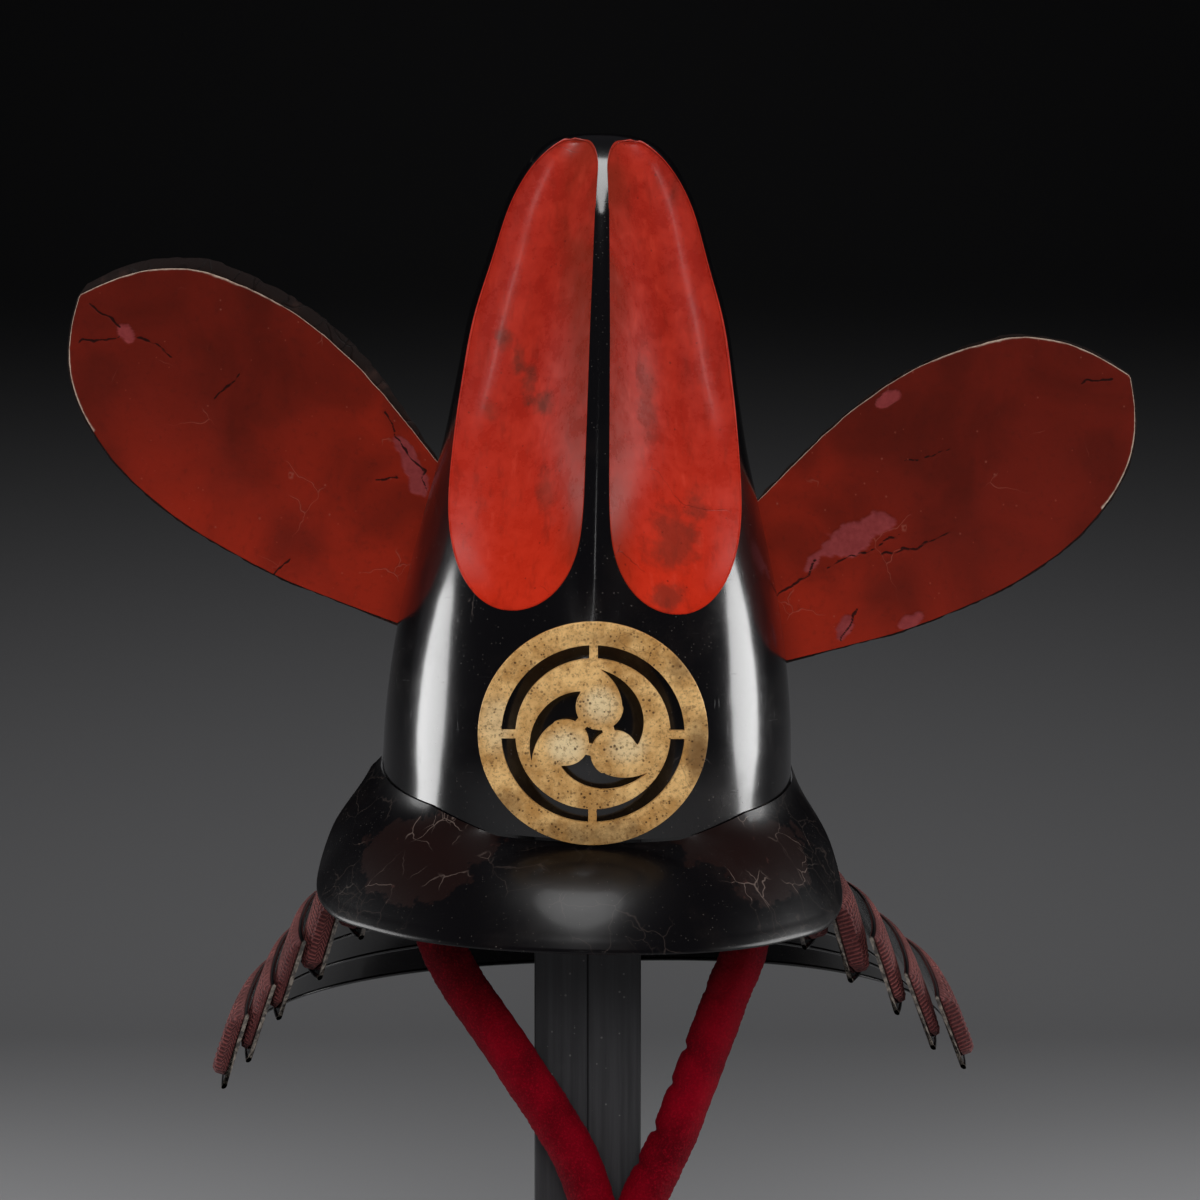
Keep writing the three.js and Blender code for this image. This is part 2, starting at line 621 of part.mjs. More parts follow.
function headBlock() {
  const { radius, tall, sides } = HEAD_BLOCK;
  const pillar = new THREE.CylinderGeometry(radius, radius, tall, sides);
  pillar.rotateX(Math.PI / 2).translate(0, 0, POST.top + GAP + tall / 2);
  return common(pillar.applyMatrix4(TO_HELMET), hollowSkin(GAP));
}

function postBar(side) {
  const [inner, outer] = [POST.split / 2, POST.split / 2 + POST.wide];
  const [x0, x1] = [side * inner, side * outer].sort((a, b) => a - b);
  return block(x0, x1, -POST.deep / 2, POST.deep / 2, BASE.tall + GAP, POST.top);
}

// ---- Assembly ----

function named(name, geometry, finish) {
  const mesh = new THREE.Mesh(geometry, new THREE.MeshStandardMaterial(finish));
  mesh.name = name;
  return mesh;
}

function helmet() {
  const group = place(new THREE.Group());
  group.add(named("crown", crownSolid(), BLACK_LACQUER));
  group.add(named("ear_hollow_left", earSkin(-1, 0, EAR.thick), RED_LACQUER));
  group.add(named("ear_hollow_right", earSkin(1, 0, EAR.thick), RED_LACQUER));
  group.add(named("visor", visorSolid(), BLACK_LACQUER));
  group.add(named("crest_disc", crestSolid(), GILT));
  group.add(named("crest_pin", crestPin(), BLACK_LACQUER));
  WINGS.forEach((wing) => group.add(...wingMeshes(wing)));
  LAMES.forEach((lame, i) => group.add(...lameMeshes(lame, i)));
  group.add(named("cord_ring_left", cordRing(-1), BLACK_LACQUER));
  group.add(named("cord_ring_right", cordRing(1), BLACK_LACQUER));
  group.add(named("chin_cord_back", backCord(), CRIMSON_CREPE));
  group.add(named("stand_head", headBlock(), STAND_GREY));
  return group;
}

const assembly = new THREE.Group();
assembly.add(helmet());
assembly.add(named("chin_cord_left", cordStrand(CORD_LEFT), CRIMSON_CREPE));
assembly.add(named("chin_cord_right", cordStrand(CORD_RIGHT), CRIMSON_CREPE));
assembly.add(named("chin_cord_knot", knotSolid(), CRIMSON_CREPE));
assembly.add(named("stand_post_left", postBar(-1), STAND_GREY));
assembly.add(named("stand_post_right", postBar(1), STAND_GREY));
const half = BASE.wide / 2;
assembly.add(named("stand_base", block(-half, half, -half, half, 0, BASE.tall), STAND_GREY));

export default assembly;
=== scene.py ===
# A kabuto, the helmet of a Japanese armour: a tall crown with two red ear hollows, a visor, a pierced gilt
# crest, two wings, a laced neck guard and a padded chin cord, on a plain post stand. Metres, +Z up, the face
# towards -Y.
import math

import bmesh
import bpy
import numpy as np
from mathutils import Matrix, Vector


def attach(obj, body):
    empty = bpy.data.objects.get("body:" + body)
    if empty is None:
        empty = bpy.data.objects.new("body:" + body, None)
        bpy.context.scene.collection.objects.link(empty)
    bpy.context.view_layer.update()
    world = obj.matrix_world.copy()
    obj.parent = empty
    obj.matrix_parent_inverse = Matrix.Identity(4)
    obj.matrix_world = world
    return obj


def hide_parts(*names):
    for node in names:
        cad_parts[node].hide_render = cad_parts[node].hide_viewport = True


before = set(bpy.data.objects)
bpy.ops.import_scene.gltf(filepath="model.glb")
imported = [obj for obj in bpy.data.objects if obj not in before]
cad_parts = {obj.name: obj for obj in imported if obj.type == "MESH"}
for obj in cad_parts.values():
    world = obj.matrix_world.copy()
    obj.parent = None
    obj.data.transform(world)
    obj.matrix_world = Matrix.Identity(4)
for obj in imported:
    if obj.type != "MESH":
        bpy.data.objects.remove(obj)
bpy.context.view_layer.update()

# ---- Camera, floor and lamps ----
# A level camera in front of the helmet, a pale floor that runs up into a backdrop painted darker towards
# its top as shade, and soft lamps: one overhead, one at each side, a weak one on either side of the camera,
# and a broad and a thin one above it.

MM = 0.001


def node(tree, kind, inputs=None, **settings):
    """One shader node: settings are its properties, and each input is given a value or another's output."""
    made = tree.nodes.new("ShaderNode" + kind)
    for name, value in settings.items():
        setattr(made, name, value)
    for name, value in (inputs or {}).items():
        if isinstance(value, bpy.types.NodeSocket):
            tree.links.new(value, made.inputs[name])
        else:
            made.inputs[name].default_value = value
    return made


def paint(red, green, blue):
    """A colour given as it looks on a screen, 0 to 255, turned to the linear light that a shader works in."""
    share = np.array([red, green, blue]) / 255
    light = np.where(share <= 0.04045, share / 12.92, ((share + 0.055) / 1.055) ** 2.4)
    return (*light.tolist(), 1.0)


def finish_named(name, **constants):
    """A new material, its Principled shader, whose constants are set on its sockets, and its Object place."""
    material = bpy.data.materials.new(name)
    material.use_nodes = True
    shader = material.node_tree.nodes["Principled BSDF"]
    for socket, value in constants.items():
        shader.inputs[socket.replace("_", " ")].default_value = value
    return material, shader, node(material.node_tree, "TexCoord").outputs["Object"]


def mixed(share, first, second):
    """The colour that goes from the first to the second as share goes from 0 to 1."""
    return node(share.id_data, "Mix", {0: share, 6: first, 7: second}, data_type="RGBA").outputs[2]


def ramped(value, low, high, start=0.0, end=1.0):
    """A value carried smoothly from start, where it is low or under, to end, where it is high or over."""
    sockets = {"Value": value, "From Min": low, "From Max": high, "To Min": start, "To Max": end}
    return node(value.id_data, "MapRange", sockets, interpolation_type="SMOOTHSTEP").outputs[0]


def parts_of(vector):
    """The three numbers of a vector."""
    return node(vector.id_data, "SeparateXYZ", {0: vector}).outputs


camera_data = bpy.data.cameras.new("camera")
camera_data.sensor_width = 36
camera_data.lens = 83.49
camera = bpy.data.objects.new("camera", camera_data)
camera.location = (0.0065, -1.5, 0.485)
camera.rotation_euler = (math.pi / 2, 0, 0)
bpy.context.collection.objects.link(camera)
bpy.context.scene.camera = camera
bpy.context.scene.view_settings.view_transform = "Standard"


def grid_faces(rows, columns, wraps):
    """Four-cornered faces between rows and columns; the last column meets the first one if it wraps."""
    index = np.arange(rows * columns).reshape(rows, columns)
    if wraps:
        index = np.hstack([index, index[:, :1]])
    corners = [index[:-1, :-1], index[:-1, 1:], index[1:, 1:], index[1:, :-1]]
    return np.stack(corners, axis=-1).reshape(-1, 4)


def mesh_object(name, points, faces, extra=()):
    """A smooth object at the origin, with sharp edges where its faces meet at over 40 degrees."""
    mesh = bpy.data.meshes.new(name)
    mesh.from_pydata(points.reshape(-1, 3).tolist(), [], [*faces.tolist(), *[list(face) for face in extra]])
    mesh.shade_smooth()
    mesh.set_sharp_from_angle(angle=math.radians(40))
    made = bpy.data.objects.new(name, mesh)
    bpy.context.collection.objects.link(made)
    return made


FLOOR = {"half": 4.0, "front": -3.0, "bend": 1.6, "radius": 1.4, "top": 4.0}
turn = np.linspace(0, math.pi / 2, 24)
floor_y = FLOOR["bend"] + FLOOR["radius"] * np.sin(turn)
floor_y = np.concatenate([[FLOOR["front"]], floor_y, floor_y[-1:]])
floor_z = np.concatenate([[0], FLOOR["radius"] * (1 - np.cos(turn)), [FLOOR["top"]]])
across = np.array([FLOOR["half"], -FLOOR["half"]])
floor_grid = np.stack(np.broadcast_arrays(across, floor_y[:, None], floor_z[:, None]), axis=-1)
floor = mesh_object("floor", floor_grid, grid_faces(len(floor_y), 2, False))
floor_paint, shader, place = finish_named("pale_floor", Roughness=0.9)
# Painted shade: the backdrop goes from pale at the floor to near black higher up.
floor_painted_falloff = mixed(ramped(parts_of(place)[2], -0.45, 1.0), paint(186, 186, 188), paint(14, 14, 15))
floor_paint.node_tree.links.new(floor_painted_falloff, shader.inputs["Base Color"])
floor.data.materials.append(floor_paint)


def lamp(name, place, aim, size, power, mirrored=True):
    """An oval soft lamp at a place, facing a point. Size is its width and height in metres. A lamp that isn't
    mirrored lights the surfaces without showing in their gloss."""
    data = bpy.data.lights.new(name, "AREA")
    data.shape = "ELLIPSE"
    data.size, data.size_y = size
    data.energy = power
    made = bpy.data.objects.new(name, data)
    made.location = place
    made.rotation_euler = (Vector(aim) - Vector(place)).to_track_quat("-Z", "Y").to_euler()
    made.visible_glossy = mirrored
    bpy.context.collection.objects.link(made)


lamp("lamp_above", (0.0, -0.28, 1.9), (0, -0.05, 0.45), (0.8, 0.6), 7)
lamp("lamp_left", (-1.33, 0.17, 0.47), (0, 0, 0.45), (0.62, 0.8), 9)
lamp("lamp_right", (1.33, 0.17, 0.47), (0, 0, 0.45), (0.62, 0.8), 9)
lamp("lamp_key_left", (-0.95, -1.3, 1.0), (0, 0, 0.5), (0.8, 0.9), 1.2, mirrored=False)
lamp("lamp_key_right", (0.95, -1.3, 1.0), (0, 0, 0.5), (0.8, 0.9), 2.2, mirrored=False)
lamp("lamp_front", (0.0, -2.4, 1.3), (0, 0, 0.5), (1.6, 1.2), 36, mirrored=False)
lamp("lamp_strip", (0.0, -2.4, 1.35), (0, 0, 0.5), (0.1, 0.9), 0.9)
world = bpy.data.worlds.new("studio")
world.use_nodes = True
world.node_tree.nodes["Background"].inputs["Color"].default_value = (0.03, 0.03, 0.033, 1)
bpy.context.scene.world = world

# ---- Chin cord ----
# A loop of crimson crepe sewn round a soft core: one padded strand down from each side of the rim, meeting in
# a knot in front of the post, and a thin cord that closes the loop behind, just inside the rim.

CORD_RADIUS = 12.0
END_STEPS = 6
LEFT_STRAND = [
    (-80, -27.5, 389.6), (-80.5, -23.5, 370.5), (-82.5, -23, 349), (-82.5, -27, 326), (-77, -31, 303),
    (-64, -34, 280), (-48, -38, 258), (-33, -41.5, 236), (-19.5, -43.5, 216), (-8, -45, 197),
    (0, -47, 178), (4, -50, 160),
]
RIGHT_STRAND = [
    (79, -27.5, 385.7), (79.5, -23.5, 366.5), (83, -23, 346), (86, -27, 325), (83.5, -31, 303),
    (74, -34, 279), (64, -38, 253), (54.5, -41.5, 229), (46, -43.5, 207), (37.5, -45, 189),
    (29.5, -47, 173), (24, -50, 158),
]
# Where the right strand's cloth is gathered on its outer side: distance from its top and depth of the fold
GATHERS = [(117, 1.0), (149, 2.2), (169, 1.8), (195, 2.4), (215, 1.8)]


def cubic(before, after, slope_before, slope_after, span, t):
    """A value at share t of a span, from before to after, with the slopes given at the span's two ends."""
    ease = t * t * (3 - 2 * t)
    pulls = slope_before * span * t * (1 - t) ** 2 + slope_after * span * t**2 * (t - 1)
    return before * (1 - ease) + after * ease + pulls


def stacked(x, y, z):
    """Points put together from their three coordinates, each spread out as far as the others reach."""
    return np.stack(np.broadcast_arrays(x, y, z), axis=-1)


def smooth_path(points, count):
    """Evenly spaced points on a curve through the given ones. Between two points the curve is a cubic in the
    straight distance from the start, with the slopes that its neighbours give."""
    points = np.asarray(points, float)
    chord = np.append(0, np.cumsum(np.linalg.norm(np.diff(points, axis=0), axis=1)))
    slopes = np.gradient(points, chord, axis=0)
    place = np.linspace(0, chord[-1], 24 * len(points))
    i = np.clip(np.searchsorted(chord, place, side="right") - 1, 0, len(chord) - 2)
    span = (chord[i + 1] - chord[i])[:, None]
    t = (place - chord[i])[:, None] / span
    curve = cubic(points[i], points[i + 1], slopes[i], slopes[i + 1], span, t)
    run = np.append(0, np.cumsum(np.linalg.norm(np.diff(curve, axis=0), axis=1)))
    even = np.linspace(0, run[-1], count)
    return np.column_stack([np.interp(even, run, curve[:, k]) for k in range(3)])


def length_of(path):
    """The length of a path of points."""
    return float(np.linalg.norm(np.diff(path, axis=0), axis=1).sum())


def full_turn(count):
    """That many angles, spread evenly round a whole turn."""
    return np.linspace(0, 2 * math.pi, count, endpoint=False)


def unit(vectors):
    """Each row of vectors made one long."""
    return vectors / np.linalg.norm(vectors, axis=1, keepdims=True)


def tube_about(path, radius, up):
    """Rings of a tube round a path, with a radius for each ring and angle. A ring's point is the path's
    point, plus the radius times the cosine of its angle along the side direction and its sine along the other
    one. The side direction is square to the path and to up."""
    ahead = unit(np.gradient(path, axis=0))
    side = unit(np.cross(ahead, up))
    angle = full_turn(radius.shape[1])[:, None]
    spread = np.cos(angle) * side[:, None] + np.sin(angle) * np.cross(side, ahead)[:, None]
    return path[:, None] + radius[..., None] * spread


def tube_object(name, rings):
    """A closed skin through rings of points in millimetres, each end shut by one many-sided face, its faces
    turned outwards."""
    rows, sides = rings.shape[:2]
    ends = [list(range(sides)), list(range((rows - 1) * sides, rows * sides))[::-1]]
    return faced_out(mesh_object(name, rings * MM, grid_faces(rows, sides, True)[:, ::-1], ends))


def faced_out(piece):
    """The piece, its faces turned over if they face inwards."""
    if signed_volume(piece.data) < 0:
        piece.data.flip_normals()
    return piece


def signed_volume(mesh):
    """Six times the volume inside a closed mesh: positive where its faces point outwards."""
    mesh.calc_loop_triangles()
    points = np.empty(len(mesh.vertices) * 3)
    mesh.vertices.foreach_get("co", points)
    corners = np.empty(len(mesh.loop_triangles) * 3, int)
    mesh.loop_triangles.foreach_get("vertices", corners)
    a, b, c = points.reshape(-1, 3)[corners].reshape(-1, 3, 3).transpose(1, 0, 2)
    return float((a * np.cross(b, c)).sum())


def crepe_radius(radius, path, sides, gathers=()):
    """The radius over a strand: fine cross wrinkles from waves that drift round the tube, and on its outer
    side a fold at each gather, shaped like a bell."""
    run = np.linspace(0, length_of(path), len(path))[:, None]
    angle = full_turn(sides)[None, :]
    wrinkles = 0.14 * np.sin(run * 1.9 + 1.3 * np.sin(angle * 2 + run * 0.05)) * np.cos(angle + run * 0.031)
    wrinkles = wrinkles + 0.12 * np.sin(run * 0.63 + 2.1 * np.cos(angle + 0.8))
    wrinkles = wrinkles + 0.1 * np.sin(run * 0.21 + angle)
    folds = sum(depth * np.exp(-((run - place - 3 * np.cos(angle)) / 2.2) ** 2) for place, depth in gathers)
    outer = np.clip(np.cos(angle - math.pi), 0, 1) ** 1.5
    return radius + wrinkles - folds * outer


def soft_tube(name, path, radius, rounding):
    """A padded tube, made longer at each end by the rounding, where its radius follows a quarter ellipse."""
    sweep = np.linspace(0, math.pi / 2, END_STEPS, endpoint=False)
    first, last = unit(np.array([path[0] - path[1], path[-1] - path[-2]]))
    before = path[0] + rounding * np.cos(sweep)[:, None] * first
    after = path[-1] + rounding * np.cos(sweep[::-1])[:, None] * last
    share = np.concatenate([np.sin(sweep), np.ones(len(path)), np.sin(sweep[::-1])])
    radius = np.pad(radius, ((END_STEPS, END_STEPS), (0, 0)), mode="edge") * np.maximum(share, 0.02)[:, None]
    return tube_object(name, tube_about(np.vstack([before, path, after]), radius, (0, 1, 0)))


def strand(name, points, gathers=()):
    """One padded strand along its route, with rounded ends."""
    path = smooth_path(points, 260)
    return soft_tube(name, path, crepe_radius(CORD_RADIUS, path, 48, gathers), CORD_RADIUS * 0.4), path


cord_left, left_path = strand("chin_cord_left_crepe", LEFT_STRAND)
cord_right, right_path = strand("chin_cord_right_crepe", RIGHT_STRAND, GATHERS)

# The helmet sits on its post with its nose down 12 degrees, leans 1.4 to the right and is turned by 1.1
SEAT = np.array([-0.8, 0, 391])


def turn_matrix(axis, degrees):
    """The matrix of a turn about one axis: 0 is x, 1 is y and 2 is z."""
    cosine, sine = math.cos(math.radians(degrees)), math.sin(math.radians(degrees))
    i, j = (axis + 1) % 3, (axis + 2) % 3
    matrix = np.eye(3)
    matrix[i, i] = matrix[j, j] = cosine
    matrix[j, i], matrix[i, j] = sine, -sine
    return matrix


TO_STAND = turn_matrix(2, 1.1) @ turn_matrix(1, 1.4) @ turn_matrix(0, 12)


def seated(points):
    """Points of the upright helmet, with its origin amid the rim, carried to where it sits on the post."""
    return points @ TO_STAND.T + SEAT


def oval(half, front, back, angle, squareness):
    """x and y of a point on an oval: half the width times the cosine and half the depth times the sine of its
    angle, each raised to 2 over the squareness. Angle 0 is the right side, a quarter turn back the front."""
    cosine, sine = np.cos(angle), np.sin(angle)
    x = half * np.sign(cosine) * np.abs(cosine) ** (2 / squareness)
    y = (front + back) / 2 + (back - front) / 2 * np.sign(sine) * np.abs(sine) ** (2 / squareness)
    return x, y


SQUARENESS = 2.25
HOLLOW = {"half": 98, "front": -108, "back": 118, "height": 122, "roundness": 2.4}
BACK_CORD = {"radius": 5.0, "inset": 7.0, "height": 4.0, "twist": 150}
back_angle = np.radians(np.arange(-5, 186, 10))
wall = np.stack(oval(HOLLOW["half"], HOLLOW["front"], HOLLOW["back"], back_angle, SQUARENESS), axis=1)
back_route = wall + unit((0, 5) - wall) * BACK_CORD["inset"]
back_route = np.column_stack([back_route, np.full(len(wall), BACK_CORD["height"])])
back_path = seated(smooth_path(back_route, 240))
twist = full_turn(24)[None, :] + np.linspace(0, BACK_CORD["twist"], 240)[:, None]
back_radius = BACK_CORD["radius"] * (0.94 + 0.06 * np.abs(np.sin(1.5 * twist)))
cord_back = tube_object("chin_cord_back_crepe", tube_about(back_path, back_radius, (0, 0, 1)))

# The knot: both strands run down through it and come out as its ends, wound round by two turns of cord
KNOT_ENDS = [
    [
        (-3, -46, 184), (7, -50, 165), (14, -51, 148), (22, -52, 132), (27, -57, 114), (32, -60, 88),
        (33, -60, 65),
    ],
    [
        (34, -46, 184), (24, -50, 165), (15, -55, 148), (7, -56, 132), (2, -58, 112), (-4, -59, 84),
        (-7, -58, 59),
    ],
]
KNOT_END_RADIUS, KNOT_STEPS = 10.4, 170
KNOT_GATHERS = [(52, 1.0), (74, 0.8), (101, 1.1)]
KNOT_TURNS = [
    {"middle": (14, -53, 158), "wide": 20.5, "deep": 12.0, "rise": 5.5, "radius": 9.6},
    {"middle": (14, -53, 141), "wide": 19.5, "deep": 12.0, "rise": -5.0, "radius": 9.8},
]


def knot_turn(middle, wide, deep, rise, radius):
    """A ring of cord round the strands: an ellipse in plan whose right side stands higher than its left by
    twice the rise, and whose cord is a little thinner behind."""
    angle = full_turn(90)
    path = stacked(wide * np.cos(angle), deep * np.sin(angle), rise * np.cos(angle)) + middle
    around = full_turn(32)[:, None]
    out = unit((path - middle) * (1, 1, 0))
    creases = 1 - 0.025 * np.abs(np.sin(5.5 * angle + 0.7))[:, None, None] * (1 + np.cos(around)) / 2
    return path[:, None] + radius * creases * (np.cos(around) * out[:, None] + np.sin(around) * (0, 0, 1))


def ring_object(name, rings):
    """A tube that closes on itself: the grid's last ring joins its first one."""
    rows, sides = rings.shape[:2]
    faces = grid_faces(rows + 1, sides, True) % (rows * sides)
    return faced_out(mesh_object(name, rings * MM, faces))


knot_pieces = [ring_object(f"knot_turn_{k + 1}", knot_turn(**turn)) for k, turn in enumerate(KNOT_TURNS)]
for k, route in enumerate(KNOT_ENDS):
    path = smooth_path(route, KNOT_STEPS)
    waist = 1.2 * np.exp(-((np.arange(KNOT_STEPS)[:, None] / KNOT_STEPS - 0.27) / 0.12) ** 2)
    radius = crepe_radius(KNOT_END_RADIUS, path, 40, KNOT_GATHERS) - waist
    knot_pieces.append(soft_tube(f"knot_end_{k + 1}", path, radius, 7.0))


def noise(place, scale, detail=2.0, roughness=0.5, distortion=0.0):
    """Cloudy noise from 0 to 1, finer with a larger scale."""
    sockets = {"Vector": place, "Scale": scale, "Detail": detail, "Roughness": roughness}
    sockets["Distortion"] = distortion
    return node(place.id_data, "TexNoise", sockets).outputs[0]


def math_of(operation, first, second=0.0):
    """One value worked out from two, one of which at least comes from another node."""
    tree = (first if isinstance(first, bpy.types.NodeSocket) else second).id_data
    return node(tree, "Math", {0: first, 1: second}, operation=operation).outputs[0]


def times(first, second):
    """One value times another."""
    return math_of("MULTIPLY", first, second)


def plus(first, second):
    """The sum of two values."""
    return math_of("ADD", first, second)


def minus(first, second):
    """The first value less the second."""
    return math_of("SUBTRACT", first, second)


def most(first, second):
    """The larger of two values."""
    return math_of("MAXIMUM", first, second)


def finished(shader, base, rough, relief, strength, depth):
    """Give a shader its colour, its roughness and a bump of that strength and depth, in metres."""
    tree = shader.id_data
    bump = node(tree, "Bump", {"Height": relief, "Strength": strength, "Distance": depth})
    for socket, value in (("Base Color", base), ("Roughness", rough), ("Normal", bump.outputs[0])):
        if isinstance(value, bpy.types.NodeSocket):
            tree.links.new(value, shader.inputs[socket])
        else:
            shader.inputs[socket].default_value = value


def crepe_finish():
    """Crimson crepe: a fine crinkled weave from two noises in the bump, a soft sheen and slow changes of
    colour, paler where light rubbing has raised the nap."""
    material, shader, place = finish_named("crimson_crepe", Specular_IOR_Level=0.15, Sheen_Weight=0.06)
    shader.inputs["Sheen Tint"].default_value = paint(235, 60, 100)
    slow = noise(place, 38, 4)
    fine = noise(place, 900, 5, 0.7)
    cells = node(shader.id_data, "TexVoronoi", {"Vector": place, "Scale": 620.0}, feature="SMOOTH_F1")
    base = mixed(ramped(slow, 0.25, 0.75), paint(74, 0, 9), paint(122, 0, 18))
    base = mixed(ramped(fine, 0.45, 0.75, 0.0, 0.45), base, paint(176, 6, 34))
    relief = plus(times(fine, 0.6), cells.outputs[0])
    finished(shader, base, 0.85, relief, 0.55, 0.0007)
    return material


crimson = crepe_finish()
for piece in (cord_left, cord_right, cord_back, *knot_pieces):
    piece.data.materials.append(crimson)
    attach(piece, "root")
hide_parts("chin_cord_left")
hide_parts("chin_cord_right")
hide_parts("chin_cord_back")
for piece in knot_pieces:
    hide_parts("chin_cord_knot")

# ---- Crown ----
# A tall dome built up over the helmet's bowl in black lacquer, oval at the rim and narrow at the top, with a
# low ridge up the middle of its front and a pocket for each ear hollow. The head goes in from below.

# Half width, front and back of the oval at each height above the rim
CROWN = np.array([
    (0, 110, -120, 130), (36, 108.3, -117.5, 130), (70, 104.5, -111, 129), (105, 98.2, -99, 126),
    (140, 89.8, -85, 122), (175, 81.2, -69, 117), (210, 74.7, -52, 110), (245, 68.5, -34, 102),
    (275, 59.5, -16, 93), (300, 51.6, 2, 85), (315, 44.7, 14, 80), (325, 38, 24, 76), (332, 31, 34, 72),
    (336, 24, 42, 67), (338, 16, 48, 62),
], float)
CROWN_TOP, CROWN_CAP, CROWN_SIDES = 338, 48, 240
RIDGE = {"width": 5.2, "height": 2.6, "from": 92, "full": 130, "end": 330, "fade": 30}
EAR = {"bottom": 110, "top": 335.5, "inner": 0.08, "outer": 0.935, "low_middle": 0.45, "high_middle": 0.55}
EAR_DISH = 20.0
POCKET = {"grow": 0.4, "behind": 1.5, "forward": 90.0}


def between(table, column, place):
    """A smooth value of a table's column at places along its first one: a cubic between neighbouring rows,
    whose slopes are those from the row before to the row after."""
    at, value = table[:, 0], table[:, column]
    last = len(at) - 1
    before, after = np.maximum(np.arange(last + 1) - 1, 0), np.minimum(np.arange(last + 1) + 1, last)
    slope = (value[after] - value[before]) / (at[after] - at[before])
    i = np.clip(np.searchsorted(at, place, side="left") - 1, 0, last - 1)
    span = at[i + 1] - at[i]
    t = (place - at[i]) / span
    return cubic(value[i], value[i + 1], slope[i], slope[i + 1], span, t)


def crown_oval(height):
    """Half width, front and back of the crown at each height."""
    return [between(CROWN, column, height) for column in (1, 2, 3)]


def crown_front(x, height):
    """The y of the crown's front at one x and height, on its oval there."""
    half, front, back = crown_oval(height)
    share = np.maximum(0, 1 - np.abs(x / half) ** SQUARENESS) ** (1 / SQUARENESS)
    return (front + back) / 2 - (back - front) / 2 * share


def opened(t, bend, power):
    """How far a rounded end has opened: 0 at the end, 1 once t reaches 1."""
    return (1 - (1 - np.minimum(t, 1)) ** bend) ** (1 / power)


def ear_edges(height):
    """A hollow's inner and outer edge at each height, in shares of the crown's half width, opening from a
    point at either end: quickly by the ridge, slowly outside."""
    up, below_top = height - EAR["bottom"], EAR["top"] - height
    low = up < below_top
    middle = np.where(low, EAR["low_middle"], EAR["high_middle"])
    inner = np.where(low, opened(up / 60, 2.8, 2), opened(below_top / 17, 3, 3))
    outer = np.where(low, opened(up / 110, 2.6, 2), opened(below_top / 52, 2.9, 4))
    return middle - (middle - EAR["inner"]) * inner, middle + (EAR["outer"] - middle) * outer


def ear_face(side, reach, angle, grow=0.0):
    """Points of a hollow's scooped face. Reach runs from 0 in its middle to 1 at its rim and the angle goes
    round it. Height goes with reach times the sine. The face hangs between the two edges and is dished
    backwards in between, most in the middle of its length."""
    long = np.clip(reach * np.sin(angle), -0.9999, 0.9999)
    across = np.clip(reach * np.cos(angle) / np.sqrt(1 - long**2), -1, 1)
    rise = (1 + long) / 2
    height = EAR["bottom"] + (EAR["top"] - EAR["bottom"]) * rise
    half = crown_oval(height)[0]
    inner, outer = [share * half for share in ear_edges(height)]
    y_inner, y_outer = crown_front(inner, height), crown_front(outer, height)
    t = (across + 1) / 2
    x = (inner - grow) * (1 - t) + (outer + grow) * t
    dish = EAR_DISH * np.sin(math.pi * rise) ** 0.6 * (1 - across**2)
    return stacked(side * x, y_inner * (1 - t) + y_outer * t + dish, height + grow * long)


def crown_skin():
    """Rings of the crown from its rim to its top. Each is an oval, pushed forward along a bell-shaped ridge
    in the middle of the front, and the last ones close the top in a shallow curve."""
    cap_height = CROWN_TOP - CROWN_CAP * np.cos(np.linspace(0, math.pi / 2, 40))
    height = np.concatenate([np.linspace(0, CROWN_TOP - CROWN_CAP, 98), cap_height[1:]])
    angle = full_turn(CROWN_SIDES) + math.pi / CROWN_SIDES
    half, front, back = [column[:, None] for column in crown_oval(height)]
    x, y = oval(half, front, back, angle[None, :], SQUARENESS)
    fade = np.clip((height - RIDGE["from"]) / (RIDGE["full"] - RIDGE["from"]), 0, 1)[:, None]
    fade = fade * np.clip((RIDGE["end"] - height) / RIDGE["fade"], 0, 1)[:, None]
    y = y - (y < 40) * RIDGE["height"] * fade**2 * np.exp(-((x / RIDGE["width"]) ** 2))
    rings = stacked(x, y, height[:, None])
    shrink = np.cos(np.linspace(0, math.pi / 2, 9))[1:-1, None, None]
    centre = rings[-1].mean(axis=0)
    cap = centre + (rings[-1] - centre) * shrink
    cap[..., 2] += 1 - shrink[..., 0] ** 2
    return np.concatenate([rings, cap])


def hollow_skin(count):
    """Rings of the dome inside the crown, from its top down to the rim: its width is the root that its
    roundness gives of what its height leaves."""
    rise = np.sin(np.linspace(math.pi / 2 * 0.97, 0, 40))
    share = (1 - rise ** HOLLOW["roundness"]) ** (1 / HOLLOW["roundness"])
    angle = full_turn(count) + math.pi / count
    middle = (HOLLOW["front"] + HOLLOW["back"]) / 2
    deep = ((HOLLOW["back"] - HOLLOW["front"]) / 2 * share)[:, None]
    x, y = oval((HOLLOW["half"] * share)[:, None], middle - deep, middle + deep, angle[None, :], SQUARENESS)
    return stacked(x, y, (rise * HOLLOW["height"])[:, None])


def helmet_object(name, rings):
    """A closed skin through rings of the upright helmet, seated on the post."""
    return tube_object(name, seated(rings))


def pocket(side):
    """What is cut out for one ear hollow: its face, a little larger all round, carried forwards."""
    reach = np.sin(np.linspace(0, math.pi / 2, 40))[1:, None]
    face = ear_face(side, reach, full_turn(CROWN_SIDES)[None, :], POCKET["grow"]) + (0, POCKET["behind"], 0)
    return helmet_object("pocket", np.concatenate([face, face[::-1] - (0, POCKET["forward"], 0)]))


